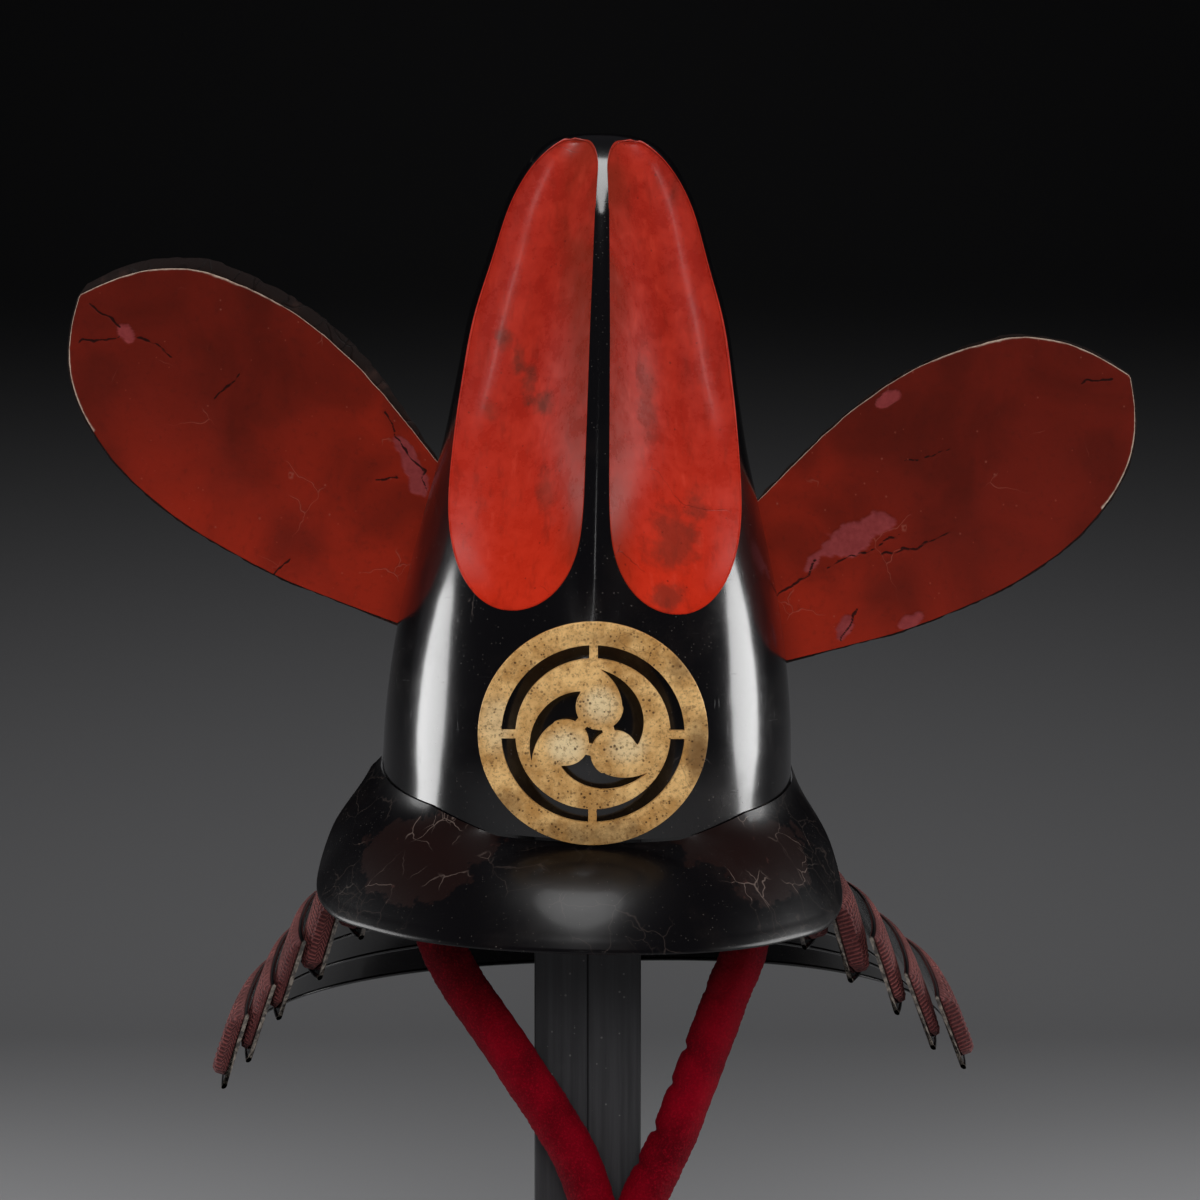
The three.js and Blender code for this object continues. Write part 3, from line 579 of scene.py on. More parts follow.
def carved(piece, *cutters):
    """The piece with the cutters' shapes cut out of it; the cutters are deleted."""
    for cutter in cutters:
        modifier = piece.modifiers.new("cut", "BOOLEAN")
        modifier.operation, modifier.solver, modifier.object = "DIFFERENCE", "EXACT", cutter
    shaped = bpy.data.meshes.new_from_object(piece.evaluated_get(bpy.context.evaluated_depsgraph_get()))
    piece.modifiers.clear()
    piece.data = shaped
    shaped.shade_smooth()
    shaped.set_sharp_from_angle(angle=math.radians(32))
    for cutter in cutters:
        bpy.data.objects.remove(cutter)


outer = crown_skin()
crown = helmet_object("crown_dome", np.concatenate([hollow_skin(outer.shape[1]), outer]))
carved(crown, pocket(-1), pocket(1))


def effect(name, **inputs):
    """An empty shader node group that makes a mask from a place and inputs with those starting values."""
    tree = bpy.data.node_groups.new(name, "ShaderNodeTree")
    tree.interface.new_socket("Vector", in_out="INPUT", socket_type="NodeSocketVector")
    for label, value in inputs.items():
        kind = "NodeSocketVector" if isinstance(value, tuple) else "NodeSocketFloat"
        tree.interface.new_socket(label, in_out="INPUT", socket_type=kind).default_value = value
    tree.interface.new_socket("Mask", in_out="OUTPUT", socket_type="NodeSocketFloat")
    return tree, tree.nodes.new("NodeGroupInput").outputs, tree.nodes.new("NodeGroupOutput").inputs["Mask"]


def mask(group, place, **values):
    """The mask that an effect gives a material, from a place and the effect's own values there."""
    return node(place.id_data, "Group", {"Vector": place, **values}, node_tree=group).outputs["Mask"]


def drawn_out(place, scale, turn=(0.0, 0.0, 0.0)):
    """A place stretched and turned, for noise drawn out along one direction."""
    return node(place.id_data, "Mapping", {"Vector": place, "Scale": scale, "Rotation": turn}).outputs[0]


def carried(shader, label):
    """The number that a mesh carries at each point under that label; it is 0 where the mesh carries none."""
    return node(shader.id_data, "Attribute", attribute_name=label).outputs["Fac"]


def crackle_effect():
    """Thin dark lines between cells, as in old lacquer: the distance to the nearest cell wall, bent by noise,
    and broken up where a slower noise is low."""
    tree, given, wanted = effect("crackle", Scale=30.0, Width=0.03, Share=0.5)
    bend = node(tree, "TexNoise", {"Vector": given["Vector"], "Scale": 45.0, "Detail": 3.0}).outputs[1]
    shifted = node(tree, "VectorMath", {0: bend, 1: (0.02, 0.02, 0.02)}, operation="MULTIPLY").outputs[0]
    bent = node(tree, "VectorMath", {0: given["Vector"], 1: shifted}, operation="ADD").outputs[0]
    cells = node(tree, "TexVoronoi", {"Vector": bent, "Scale": given["Scale"]}, feature="DISTANCE_TO_EDGE")
    line = ramped(cells.outputs["Distance"], 0.0, given["Width"], 1.0, 0.0)
    limit = minus(1.0, given["Share"])
    tree.links.new(times(line, ramped(noise(given["Vector"], 22), limit, plus(limit, 0.08))), wanted)
    return tree


def specks_effect():
    """Small round specks, as of dust or tarnish: one dot in some of the cells, of a size that the cell's own
    random number gives."""
    tree, given, wanted = effect("specks", Scale=400.0, Size=0.3, Share=0.3)
    cells = node(tree, "TexVoronoi", {"Vector": given["Vector"], "Scale": given["Scale"]})
    chance = node(tree, "SeparateColor", {0: cells.outputs["Color"]}).outputs
    radius = times(given["Size"], chance[1])
    dot = ramped(cells.outputs["Distance"], times(radius, 0.6), radius, 1.0, 0.0)
    chosen = math_of("LESS_THAN", chance[0], given["Share"])
    tree.links.new(times(dot, chosen), wanted)
    return tree


def rubbed_effect():
    """Worn patches: noise above a limit, with ragged edges."""
    tree, given, wanted = effect("rubbed", Scale=12.0, Share=0.4, Edge=0.1)
    limit = minus(0.95, times(given["Share"], 0.9))
    cloud = noise(given["Vector"], given["Scale"], 9, 0.62)
    tree.links.new(ramped(cloud, limit, plus(limit, given["Edge"])), wanted)
    return tree


def blot_effect():
    """One blot at a place: full inside a sphere squeezed to Size, fading at its ragged edge."""
    centre, size = (0.0, 0.0, 0.0), (0.02, 0.02, 0.02)
    tree, given, wanted = effect("blot", Centre=centre, Size=size, Ragged=0.4, Edge=0.2)
    away = node(tree, "VectorMath", {0: given["Vector"], 1: given["Centre"]}, operation="SUBTRACT").outputs[0]
    shares = node(tree, "VectorMath", {0: away, 1: given["Size"]}, operation="DIVIDE").outputs[0]
    distance = node(tree, "VectorMath", {0: shares}, operation="LENGTH").outputs["Value"]
    ragged = times(minus(noise(given["Vector"], 70, 7, 0.65), 0.5), given["Ragged"])
    bent = plus(distance, ragged)
    inner = minus(1.0, given["Edge"])
    tree.links.new(ramped(bent, inner, 1.0, 1.0, 0.0), wanted)
    return tree


CRACKLE, SPECKS, RUBBED, BLOT = crackle_effect(), specks_effect(), rubbed_effect(), blot_effect()


def black_lacquer():
    """Glossy black lacquer: a faint brown cast in places, hazy rubbed patches that are rougher, a few hair
    cracks, fine scratches drawn out sideways, uneven pale dust, and pale worn ends on the lames."""
    material, shader, place = finish_named("black_lacquer", Coat_Weight=0.5, Coat_Roughness=0.1)
    haze = mask(RUBBED, place, Scale=14.0, Share=0.5, Edge=0.3)
    cracks = mask(CRACKLE, place, Scale=19.0, Width=0.006, Share=0.4)
    dust = mask(SPECKS, place, Scale=900.0, Size=0.4, Share=0.14)
    dust = times(dust, ramped(haze, 0.0, 1.0, 0.12, 0.5))
    scratch = 0.0
    for stretch, spin in (((70.0, 70.0, 1300.0), (0.25, 0.3, 0.1)), ((900.0, 900.0, 60.0), (0.1, 0.35, 0.2))):
        lines = noise(drawn_out(place, stretch, spin), 1)
        scratch = most(scratch, ramped(lines, 0.68, 0.82))
    base = mixed(haze, paint(7, 6, 8), paint(20, 15, 14))
    base = mixed(times(cracks, 0.5), base, paint(84, 76, 72))
    base = mixed(dust, base, paint(150, 142, 134))
    chipped = ramped(noise(place, 420, 4), 0.35, 0.7, 0.1, 0.8)
    worn = times(carried(shader, "worn_edge"), chipped)
    base = mixed(worn, base, paint(150, 138, 126))
    rough = plus(times(haze, 0.16), 0.17)
    rough = plus(rough, times(scratch, 0.14))
    relief = minus(noise(place, 26), times(plus(scratch, cracks), 0.05))
    finished(shader, base, rough, relief, 0.25, 0.0015)
    return material


BLACK = black_lacquer()
crown.data.materials.clear()
crown.data.materials.append(BLACK)
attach(crown, "root")
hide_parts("crown")

# ---- Ear hollows ----
# The insides of two long ears: scooped sheets in glossy vermilion lacquer, set in the crown's pockets, each
# with a fine raised lip that laps over the pocket's edge.

EAR_LIP = 0.75
EAR_THICK = 1.6


def ear_sheet(side):
    """A scooped face with a rounded lip round its rim, and a back a little behind it. The lip is half a
    circle that starts at the rim and ends outside it."""
    angle = full_turn(320)[None, :]
    reach = np.sin(np.linspace(0.0, math.pi / 2, 70))[1:, None]
    face = ear_face(side, reach, angle)
    rim, before = face[-1], face[-4]
    out = unit((rim - before) * (1, 0, 1))
    sweep = np.linspace(0, math.pi, 9)[1:, None, None]
    forward = np.array([0, -1, 0])
    lip = rim + EAR_LIP * ((1 - np.cos(sweep)) * out + np.sin(sweep) * forward)
    tucked = lip[-1:] + (0, EAR_THICK + 1, 0)
    back = face[::-6] + (0, EAR_THICK, 0)
    return np.concatenate([face, lip, tucked, back[1:]])


# Smudges where the red is rubbed down to the dark ground: place, half sizes and strength
SMUDGES = {
    "left": [
        ((-0.0425, -0.085, 0.622), (0.007, 0.1, 0.010), 0.55),
        ((-0.036, -0.085, 0.610), (0.006, 0.1, 0.014), 0.65),
        ((-0.0305, -0.085, 0.598), (0.006, 0.1, 0.012), 0.6),
        ((-0.0235, -0.085, 0.586), (0.008, 0.1, 0.011), 0.7),
        ((-0.0505, -0.085, 0.583), (0.006, 0.1, 0.008), 0.4),
        ((-0.021, -0.09, 0.541), (0.006, 0.1, 0.014), 0.4),
    ],
    "right": [
        ((0.040, -0.1, 0.487), (0.014, 0.1, 0.010), 0.5),
        ((0.043, -0.1, 0.516), (0.017, 0.1, 0.022), 0.45),
        ((0.056, -0.1, 0.535), (0.009, 0.1, 0.015), 0.45),
        ((0.047, -0.09, 0.700), (0.007, 0.1, 0.013), 0.35),
        ((0.031, -0.09, 0.590), (0.008, 0.1, 0.034), 0.35),
    ],
}


def red_lacquer(side):
    """Satin vermilion lacquer: painted shade along the ridge side and painted light low down, mottled in the
    pigment and streaked along the scoop, with dark pits, a few hair cracks and smudges rubbed down to the
    ground."""
    material, shader, place = finish_named("red_lacquer_" + side, Coat_Roughness=0.14)
    parts = parts_of(place)
    mottle = noise(place, 70, 8, 0.7)
    cloud = noise(place, 16, 4, distortion=0.8)
    streaks = noise(drawn_out(place, (170.0, 60.0, 42.0)), 1, 6, 0.65)
    pits = mask(SPECKS, place, Scale=420.0, Size=0.35, Share=0.07)
    cracks = mask(CRACKLE, place, Scale=17.0, Width=0.006, Share=0.44)
    # Painted light: the lower ends of the hollows are made a brighter orange.
    low = ramped(parts[2], 0.49, 0.62, 1.0, 0.0)
    base = mixed(ramped(mottle, 0.35, 0.7), paint(158, 34, 22), paint(182, 48, 32))
    base = mixed(times(low, 0.5), base, paint(196, 44, 20))
    base = mixed(ramped(streaks, 0.5, 0.72, 0.0, 0.5), base, paint(128, 30, 18))
    base = mixed(ramped(streaks, 0.28, 0.42, 0.35, 0.0), base, paint(206, 66, 48))
    # Painted shade: the scoop is darkened to brown along its inner edge, beside the ridge.
    inner = math_of("ABSOLUTE", minus(parts[0], 0.004))
    inner = ramped(inner, 0.006, 0.026, 0.75, 0.0)
    ridge_painted_shade = times(inner, ramped(cloud, 0.35, 0.6, 0.3, 1.0))
    base = mixed(ridge_painted_shade, base, paint(112, 34, 16))
    for centre, size, strength in SMUDGES[side]:
        blot = mask(BLOT, place, Centre=centre, Size=size, Ragged=2.0, Edge=0.7)
        base = mixed(times(blot, strength), base, paint(74, 46, 36))
    gloss = times(ramped(parts[2], 0.485, 0.56), 0.4)
    for socket in ("Coat Weight", "Specular IOR Level"):
        shader.id_data.links.new(gloss, shader.inputs[socket])
    marks = times(most(pits, cracks), 0.6)
    base = mixed(marks, base, paint(84, 20, 14))
    rough = plus(times(ramped(mottle, 0.3, 0.8), 0.16), 0.24)
    relief = minus(times(cloud, 0.8), times(cracks, 0.1))
    relief = plus(relief, times(mottle, 0.08))
    finished(shader, base, rough, relief, 0.35, 0.0012)
    return material


for side, sign in (("left", -1), ("right", 1)):
    hollow = helmet_object(f"ear_hollow_{side}_sheet", ear_sheet(sign))
    hollow.data.materials.append(red_lacquer(side))
    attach(hollow, "root")
    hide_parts(f"ear_hollow_{side}")

# ---- Visor ----
# A wide black lacquered plate that leaves the rim all round the front and swells down to a rolled edge. At
# either side the lacquer is dark maroon and cracked.

# The outer edge from the middle of the front round to the right side
VISOR_EDGE = [
    (0, -187, -34), (54, -173, -37), (100, -134, -43.5), (128, -93, -47), (136, -64, -43), (131, -38, -22),
    (114, 4, -2.5),
]
VISOR = {"thick": 2.4, "bulge": 0.08, "flare_left": 1.02, "flare_right": 0.98, "drop": 1.4, "clear": 0.6}
VISOR_STEPS = 280
# The lacquer runs up the crown in a hollow curve: its height, its reach, and where it starts and is full
FILLET = {"height": 8.0, "reach": 6.0, "from": 46, "full": 80}


def visor_rings():
    """One closed profile for each step along the edge: out along the top, which swells by a parabola, round
    the edge in half a circle with a low bead before it, and back underneath."""
    right = np.array(VISOR_EDGE, float) * (VISOR["flare_right"], 1, 1)
    left = np.array(VISOR_EDGE[:0:-1], float) * (-VISOR["flare_left"], 1, 1)
    edge = smooth_path(np.vstack([left, right]), VISOR_STEPS)
    half, front, back = CROWN[0, 1:] + VISOR["clear"] * np.array([1, -1, 1])
    x, y = oval(half, front, back, np.linspace(-math.pi, 0, VISOR_STEPS), SQUARENESS)
    inner = stacked(x, y, -VISOR["drop"])
    reach = np.linalg.norm(edge - inner, axis=1)
    t = (np.linspace(0, 1, 46) ** 1.3)[None, :, None]
    top = inner[:, None] * (1 - t) + edge[:, None] * t
    top[..., 2] += (4 * VISOR["bulge"] * reach[:, None]) * (t * (1 - t))[..., 0]
    from_edge = (1 - t[..., 0]) * reach[:, None]
    top[..., 2] += 0.3 * np.exp(-(((from_edge - 1.4) / 0.9) ** 2))
    beside = np.clip((np.abs(x) - FILLET["from"]) / (FILLET["full"] - FILLET["from"]), 0, 1)[:, None]
    top[..., 2] += FILLET["height"] * beside * np.exp(-t[..., 0] * reach[:, None] / FILLET["reach"])
    sweep = np.linspace(0, math.pi, 8)[1:-1][None, :, None]
    out = (edge - inner) / reach[:, None]
    radius = VISOR["thick"] / 2
    nose = edge[:, None] + radius * (np.sin(sweep) * out[:, None] + (np.cos(sweep) - 1) * (0, 0, 1))
    under = top[:, ::-3] - (0, 0, VISOR["thick"])
    return np.concatenate([top, nose, under], axis=1)


# The dark maroon areas: middle and half sizes
MAROON_AREAS = [
    ((-0.090, -0.120, 0.356), (0.034, 0.070, 0.022)), ((-0.066, -0.125, 0.368), (0.026, 0.070, 0.014)),
    ((0.098, -0.120, 0.356), (0.030, 0.070, 0.024)), ((0.070, -0.125, 0.366), (0.028, 0.070, 0.015)),
]


def visor_lacquer():
    """The crown's black lacquer with two large dark maroon areas, one at either side,
    crossed by fine broken cracks and chipped along the cracks' edges."""
    material = BLACK.copy()
    material.name = "visor_lacquer"
    tree = material.node_tree
    shader = tree.nodes["Principled BSDF"]
    shader.inputs["Coat Weight"].default_value = 0.1
    shader.inputs["Specular IOR Level"].default_value = 0.22
    base, rough = [shader.inputs[socket].links[0].from_socket for socket in ("Base Color", "Roughness")]
    place = node(tree, "TexCoord").outputs["Object"]
    worn = 0.0
    # Dark maroon areas at either side of the visor.
    for centre, size in MAROON_AREAS:
        blot = mask(BLOT, place, Centre=centre, Size=size, Ragged=1.3, Edge=0.08)
        worn = most(worn, blot)
    cracks = mask(CRACKLE, place, Scale=48.0, Width=0.018, Share=0.53)
    small = mask(CRACKLE, place, Scale=95.0, Width=0.022, Share=0.42)
    cracks = times(most(cracks, small), ramped(worn, 0.0, 1.0, 0.2, 1.0))
    chips = mask(RUBBED, place, Scale=150.0, Share=0.33, Edge=0.04)
    chips = times(chips, worn)
    base = mixed(times(worn, 0.85), base, paint(24, 10, 8))
    base = mixed(times(chips, 0.7), base, paint(52, 30, 26))
    base = mixed(times(cracks, 0.55), base, paint(124, 108, 100))
    tree.links.new(base, shader.inputs["Base Color"])
    tree.links.new(plus(plus(rough, 0.12), times(worn, 0.08)), shader.inputs["Roughness"])
    return material


visor = helmet_object("visor_plate", visor_rings())
visor.data.materials.append(visor_lacquer())
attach(visor, "root")
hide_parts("visor")

# ---- Crest ----
# A flat pierced disc of gilded copper: an outer ring, four short bars and a three-comma tomoe inside them. A
# plain pin behind its lower edge holds it to the front of the crown.

CREST = {"radius": 56.5, "thick": 2.6, "x": 0.6, "y": -124.2, "z": 55.5, "turn": 1.2, "bevel": 0.35}
RING_INNER, TOMOE_OUTER, BAR_WIDTH = 0.795, 0.674, 0.074
HEAD = {"radius": 0.206, "reach": 0.252, "angle": 78.5}
SLOT = {"start_angle": 28.5, "start": 0.4, "tip_angle": 127, "tip": 0.585, "back_angle": 88, "back": 0.358}


def arc(centre, first, last, start, end, count):
    """Points round a centre, in shares of the disc's radius, at even steps of distance and of angle in
    degrees: an arc, or a spiral where the two distances differ."""
    reach, angle = np.linspace(first, last, count), np.radians(np.linspace(start, end, count))
    return np.column_stack([reach * np.cos(angle), reach * np.sin(angle)]) + centre


def head_centre(angle):
    """The middle of a comma's head, in shares of the disc's radius."""
    return HEAD["reach"] * np.array([math.cos(math.radians(angle)), math.sin(math.radians(angle))])


def ring_slot(quarter):
    """The outline of the slot between two bars: an arc under the ring and one outside the tomoe."""
    start = 90 * quarter + CREST["turn"]
    far, near = [math.degrees(math.asin(BAR_WIDTH / 2 / share)) for share in (RING_INNER, TOMOE_OUTER)]
    outer = arc((0, 0), RING_INNER, RING_INNER, start + far, start + 90 - far, 40)
    return np.vstack([outer, arc((0, 0), TOMOE_OUTER, TOMOE_OUTER, start + 90 - near, start + near, 40)])


def comma_slot(third):
    """The outline of the slot beside one comma: out along a spiral under its tail, back along the next comma,
    then round the next head and its own."""
    turn = HEAD["angle"] + 120 * third
    tail = arc((0, 0), SLOT["start"], SLOT["tip"], turn + SLOT["start_angle"], turn + SLOT["tip_angle"], 44)
    back = arc((0, 0), SLOT["tip"], SLOT["back"], turn + SLOT["tip_angle"], turn + SLOT["back_angle"], 16)[1:]
    next_head = arc(head_centre(turn + 120), HEAD["radius"], HEAD["radius"], turn + 45, turn - 12, 14)[1:]
    own_head = arc(head_centre(turn), HEAD["radius"], HEAD["radius"], turn + 132, turn + 70, 16)
    return np.vstack([tail, back, next_head, own_head])


def middle_hole():
    """The small three-cornered hole between the heads."""
    arcs = [arc(head_centre(HEAD["angle"] + 120 * k), HEAD["radius"], HEAD["radius"],
                HEAD["angle"] + 120 * k + 199, HEAD["angle"] + 120 * k + 161, 8) for k in range(3)]
    return np.vstack(arcs)


def pierced_plate(name, outlines, thick, bevel):
    """A flat plate with bevelled edges: the first outline is its rim, and the others are cut through."""
    curve = bpy.data.curves.new(name, "CURVE")
    curve.dimensions, curve.fill_mode = "2D", "BOTH"
    curve.extrude, curve.bevel_depth, curve.offset = thick / 2 - bevel, bevel, -bevel
    curve.bevel_resolution = 2
    for outline in outlines:
        spline = curve.splines.new("POLY")
        spline.points.add(len(outline) - 1)
        flat = np.column_stack([outline, np.zeros(len(outline)), np.ones(len(outline))])
        spline.points.foreach_set("co", flat.ravel())
        spline.use_cyclic_u = True
    holder = bpy.data.objects.new(name, curve)
    bpy.context.collection.objects.link(holder)
    plate = bpy.data.meshes.new_from_object(holder.evaluated_get(bpy.context.evaluated_depsgraph_get()))
    bpy.data.objects.remove(holder)
    return plate


def stood_up(mesh, name):
    """The crest's flat mesh as an object, welded, stood up in front of the crown and seated with it."""
    shape = bmesh.new()
    shape.from_mesh(mesh)
    bmesh.ops.remove_doubles(shape, verts=shape.verts, dist=1e-4)
    shape.to_mesh(mesh)
    shape.free()
    points = np.empty(len(mesh.vertices) * 3)
    mesh.vertices.foreach_get("co", points)
    x, y, z = points.reshape(-1, 3).T
    upright = np.column_stack([x + CREST["x"], CREST["y"] - CREST["thick"] / 2 - z, y + CREST["z"]])
    mesh.vertices.foreach_set("co", (seated(upright) * MM).ravel())
    mesh.update()
    mesh.shade_smooth()
    mesh.set_sharp_from_angle(angle=math.radians(30))
    made = bpy.data.objects.new(name, mesh)
    bpy.context.collection.objects.link(made)
    return made


# Dark marks on the gilding, partly stains at its right and partly painted shade along the top and bottom of
# its ring, and painted highlights on the commas' heads and the ring's left side: place, half sizes and
# strength
CREST_STAINS_AND_SHADE = [
    ((0.047, -0.125, 0.455), (0.011, 0.03, 0.014), 0.8), ((0.054, -0.13, 0.412), (0.010, 0.03, 0.022), 0.7),
    ((0.004, -0.14, 0.368), (0.045, 0.03, 0.013), 0.7), ((-0.040, -0.13, 0.385), (0.012, 0.03, 0.012), 0.4),
    ((0.010, -0.13, 0.466), (0.030, 0.03, 0.006), 0.4),
]
CREST_HIGHLIGHTS = [
    ((0.006, -0.13, 0.434), (0.013, 0.03, 0.012), 0.9), ((-0.010, -0.13, 0.413), (0.013, 0.03, 0.012), 0.9),
    ((0.020, -0.13, 0.413), (0.014, 0.03, 0.012), 0.7), ((-0.044, -0.13, 0.425), (0.012, 0.03, 0.020), 0.5),
]


def gilding():
    """Aged gilding: warm pale gold with a grainy, pitted skin, brown specks that gather in places, dark
    stains at its right edge, painted shade along the top and bottom of its ring, and a painted highlight on
    the commas' heads."""
    material, shader, place = finish_named("aged_gilt", Metallic=0.2)
    grain = noise(place, 520, 6, 0.75)
    cloud = noise(place, 60, 7, 0.65)
    pits = mask(SPECKS, place, Scale=620.0, Size=0.55, Share=0.5)
    large = mask(SPECKS, place, Scale=210.0, Size=0.32, Share=0.16)
    scuffs = mask(CRACKLE, place, Scale=55.0, Width=0.02, Share=0.45)
    base = mixed(ramped(cloud, 0.35, 0.66), paint(198, 146, 80), paint(255, 208, 138))
    # First pale gold painted on as highlights, then dark brown as stains and painted shade.
    shades = ((CREST_HIGHLIGHTS, paint(255, 230, 180), 0.6), (CREST_STAINS_AND_SHADE, paint(92, 64, 36), 1.5))
    for spots, shade, ragged in shades:
        amount = 0.0
        for centre, size, strength in spots:
            blot = mask(BLOT, place, Centre=centre, Size=size, Ragged=ragged, Edge=0.7)
            amount = most(amount, times(blot, strength))
        base = mixed(amount, base, shade)
    base = mixed(ramped(grain, 0.48, 0.66, 0.0, 0.7), base, paint(138, 98, 54))
    gathered = ramped(cloud, 0.4, 0.62, 1.0, 0.25)
    dots = most(times(pits, gathered), times(large, 0.5))
    dots = most(dots, times(scuffs, 0.5))
    base = mixed(times(dots, 0.85), base, paint(66, 42, 22))
    rough = plus(times(grain, 0.25), 0.33)
    rough = plus(rough, times(dots, 0.2))
    relief = minus(grain, plus(pits, large))
    finished(shader, base, rough, relief, 0.4, 0.0004)
    return material


outlines = [arc((0, 0), 1, 1, 0, 360 - 360 / 144, 144), *[ring_slot(k) for k in range(4)]]
outlines += [*[comma_slot(k) for k in range(3)], middle_hole()]
outlines = [outline * CREST["radius"] for outline in outlines]
crest = faced_out(stood_up(pierced_plate("crest", outlines, CREST["thick"], CREST["bevel"]), "crest_plate"))
crest.data.materials.append(gilding())
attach(crest, "root")
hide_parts("crest_disc")


def repainted(name, material):
    """Give a CAD object that material in place of its own; nothing else about it changes."""
    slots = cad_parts[name].data.materials
    slots.clear()
    slots.append(material)


repainted("crest_pin", BLACK)

# ---- Wings ----
# Two broad ears of hardened hide in old red-brown lacquer, each on a dark second layer that shows along the
# upper edge, on a prong that plugs into the crown's side. The red is cracked, flaked and torn in places.

WING = np.array([
    (-26, 33, -38), (-6, 36.5, -44), (15, 41, -50), (45, 49.5, -58), (75, 57, -63), (105, 61, -66),
    (130, 61, -65.5), (155, 57, -62), (180, 49.5, -53.5), (198, 37.5, -43), (210, 25, -31), (219, 11.5, -16),
    (225, 0.6, -0.6),
], float)
WING_FACE, WING_BACK, WING_APART = 2.2, 1.8, 0.6
WING_CAMBER, WING_HALF, WING_SWEEP, WING_TIP = 5.0, 64.0, 4.0, 225
WING_COLUMNS = {"worn": 129, "plain": 49}
WINGS = {
    "left": {"mirror": -1, "root": (-91.3, 3, 515), "raise": 36.1, "long": 1.03, "back_top": 7.0},
    "right": {"mirror": 1, "root": (99.2, 3, 495.5), "raise": 29.5, "long": 1.01, "back_top": 1.2},
}
# Flakes, where the red has lifted off: middle along and across the wing, half sizes, turn in degrees
FLAKES = {
    "left": [(191, -2, 5.5, 4, 20), (25, 29, 11, 6, 40), (36, 38, 8, 3.5, 10)],
    "right": [
        (50, -1, 24, 8.5, -9), (25, -2, 7, 3, 20), (22, -43, 8, 5, 30), (55, -57, 7, 4, 5),
        (103, 55, 8, 4, -10),
    ],
}
# Painted bounce light: how far the red warms to orange towards the root and along the lower edge, and how
# far out that reaches
BOUNCE_WARMTH = {"left": (0.6, 0.20, 0.15), "right": (0.45, 0.10, 0.10)}
# Cracks: the points that each runs through, along and across the wing
CRACKS = {
    "left": [
        [(219, 0), (197, -1)], [(211, -21), (195, -6)], [(186, 0), (175, 4), (166, 2)],
        [(134, -3), (132, 16)], [(52, -48), (54, -60)], [(55, 47), (44, 40), (34, 36), (22, 34), (14, 26)],
        [(30, 22), (38, 14)],
    ],
    "right": [
        [(-6, -10), (8, -9), (20, -7), (27, -3)], [(30, -9), (50, -12), (72, -12)], [(34, -36), (18, -46)],
        [(60, -18), (75, -23), (99, -25)], [(200, 10), (216, 4)], [(96, 20), (120, 14)],
    ],
}
LATTICE = np.random.default_rng(7).random((128, 128))


def soft_noise(x, y, size):
    """Smooth noise from 0 to 1 that changes over about that size: a lattice's heights, eased in between."""
    u, v = x / size, y / size
    i, j = np.floor(u).astype(int), np.floor(v).astype(int)
    p, q = u - i, v - j
    p, q = p * p * (3 - 2 * p), q * q * (3 - 2 * q)
    corner = LATTICE[i % 128, j % 128], LATTICE[(i + 1) % 128, j % 128]
    above = LATTICE[i % 128, (j + 1) % 128], LATTICE[(i + 1) % 128, (j + 1) % 128]
    return (corner[0] * (1 - p) + corner[1] * p) * (1 - q) + (above[0] * (1 - p) + above[1] * p) * q


def rough_noise(x, y, size):
    """Three soft noises, each half as large and half as strong as the one before."""
    total = sum(soft_noise(x + 31 * k, y + 17 * k, size / 2**k) / 2**k for k in range(3))
    return total / 1.75


def flaked(along, across, flakes):
    """How deep in a flake each place lies: 1 inside and 0 outside a ragged ellipse for each flake."""
    deep = np.zeros_like(along)
    for middle, height, long, tall, turn in flakes:
        angle = math.radians(turn)
        u, v = along - middle, across - height
        u, v = u * math.cos(angle) + v * math.sin(angle), v * math.cos(angle) - u * math.sin(angle)
        ragged = (rough_noise(along + 200, across + 200, 9.0) - 0.5) * 1.3
        distance = np.sqrt((u / long) ** 2 + (v / tall) ** 2) + ragged
        deep = np.maximum(deep, np.clip((1.0 - distance) / 0.09, 0, 1))
    return deep


def crack_depth(along, across, cracks):
    """How close each place is to a crack's zigzag line, from 0 at three millimetres to 1 on it: the distance
    to its straight stretches, whose places are shifted by noise."""
    shift_u = (rough_noise(along, across + 90, 6.0) - 0.5) * 5
    shift_v = (rough_noise(along + 90, across, 6.0) - 0.5) * 5
    u, v = along + shift_u, across + shift_v
    near = np.full_like(along, 99.0)
    for crack in cracks:
        for (u0, v0), (u1, v1) in zip(crack, crack[1:]):
            span = (u1 - u0) ** 2 + (v1 - v0) ** 2
            t = np.clip(((u - u0) * (u1 - u0) + (v - v0) * (v1 - v0)) / span, 0, 1)
            near = np.minimum(near, np.hypot(u - u0 - t * (u1 - u0), v - v0 - t * (v1 - v0)))
    return np.clip(1 - near / 3, 0, 1)


def at_root(points, wing):
    """Points made along a wing, raised and swept at its root, where it leaves the crown."""
    raised = turn_matrix(1, -wing["mirror"] * wing["raise"])
    swept = turn_matrix(2, wing["mirror"] * WING_SWEEP)
    return points @ (swept @ raised).T + np.array(wing["root"])


def painted_rim_band(along, across, low, up):
    """Where the wing's rim is painted pale as a highlight, from 0 to 1: a line under two millimetres wide
    along the outer half of its upper edge and round its tip, broken up by noise."""
    from_edge = np.where((along > 175) | (across > 0), np.minimum(up - across, across - low), 99)
    reach = np.clip((along - 90) / 80, 0, 1) * (0.3 + rough_noise(along + 400, across, 5.0))
    return np.clip(1.4 - from_edge / np.maximum(reach, 0.01), 0, 1)


def point_values(mesh, label, values):
    """A number at each point of a mesh, for its material to read."""
    attribute = mesh.attributes.new(label, "FLOAT", "POINT")
    attribute.data.foreach_set("value", np.ascontiguousarray(values, np.float32).ravel())


def point_uv(mesh, label, uv):
    """A UV map that gives each corner of a face the place of its point."""
    corner = np.empty(len(mesh.loops), int)
    mesh.loops.foreach_get("vertex_index", corner)
    mesh.uv_layers.new(name=label).data.foreach_set("uv", uv.reshape(-1, 2)[corner].ravel())


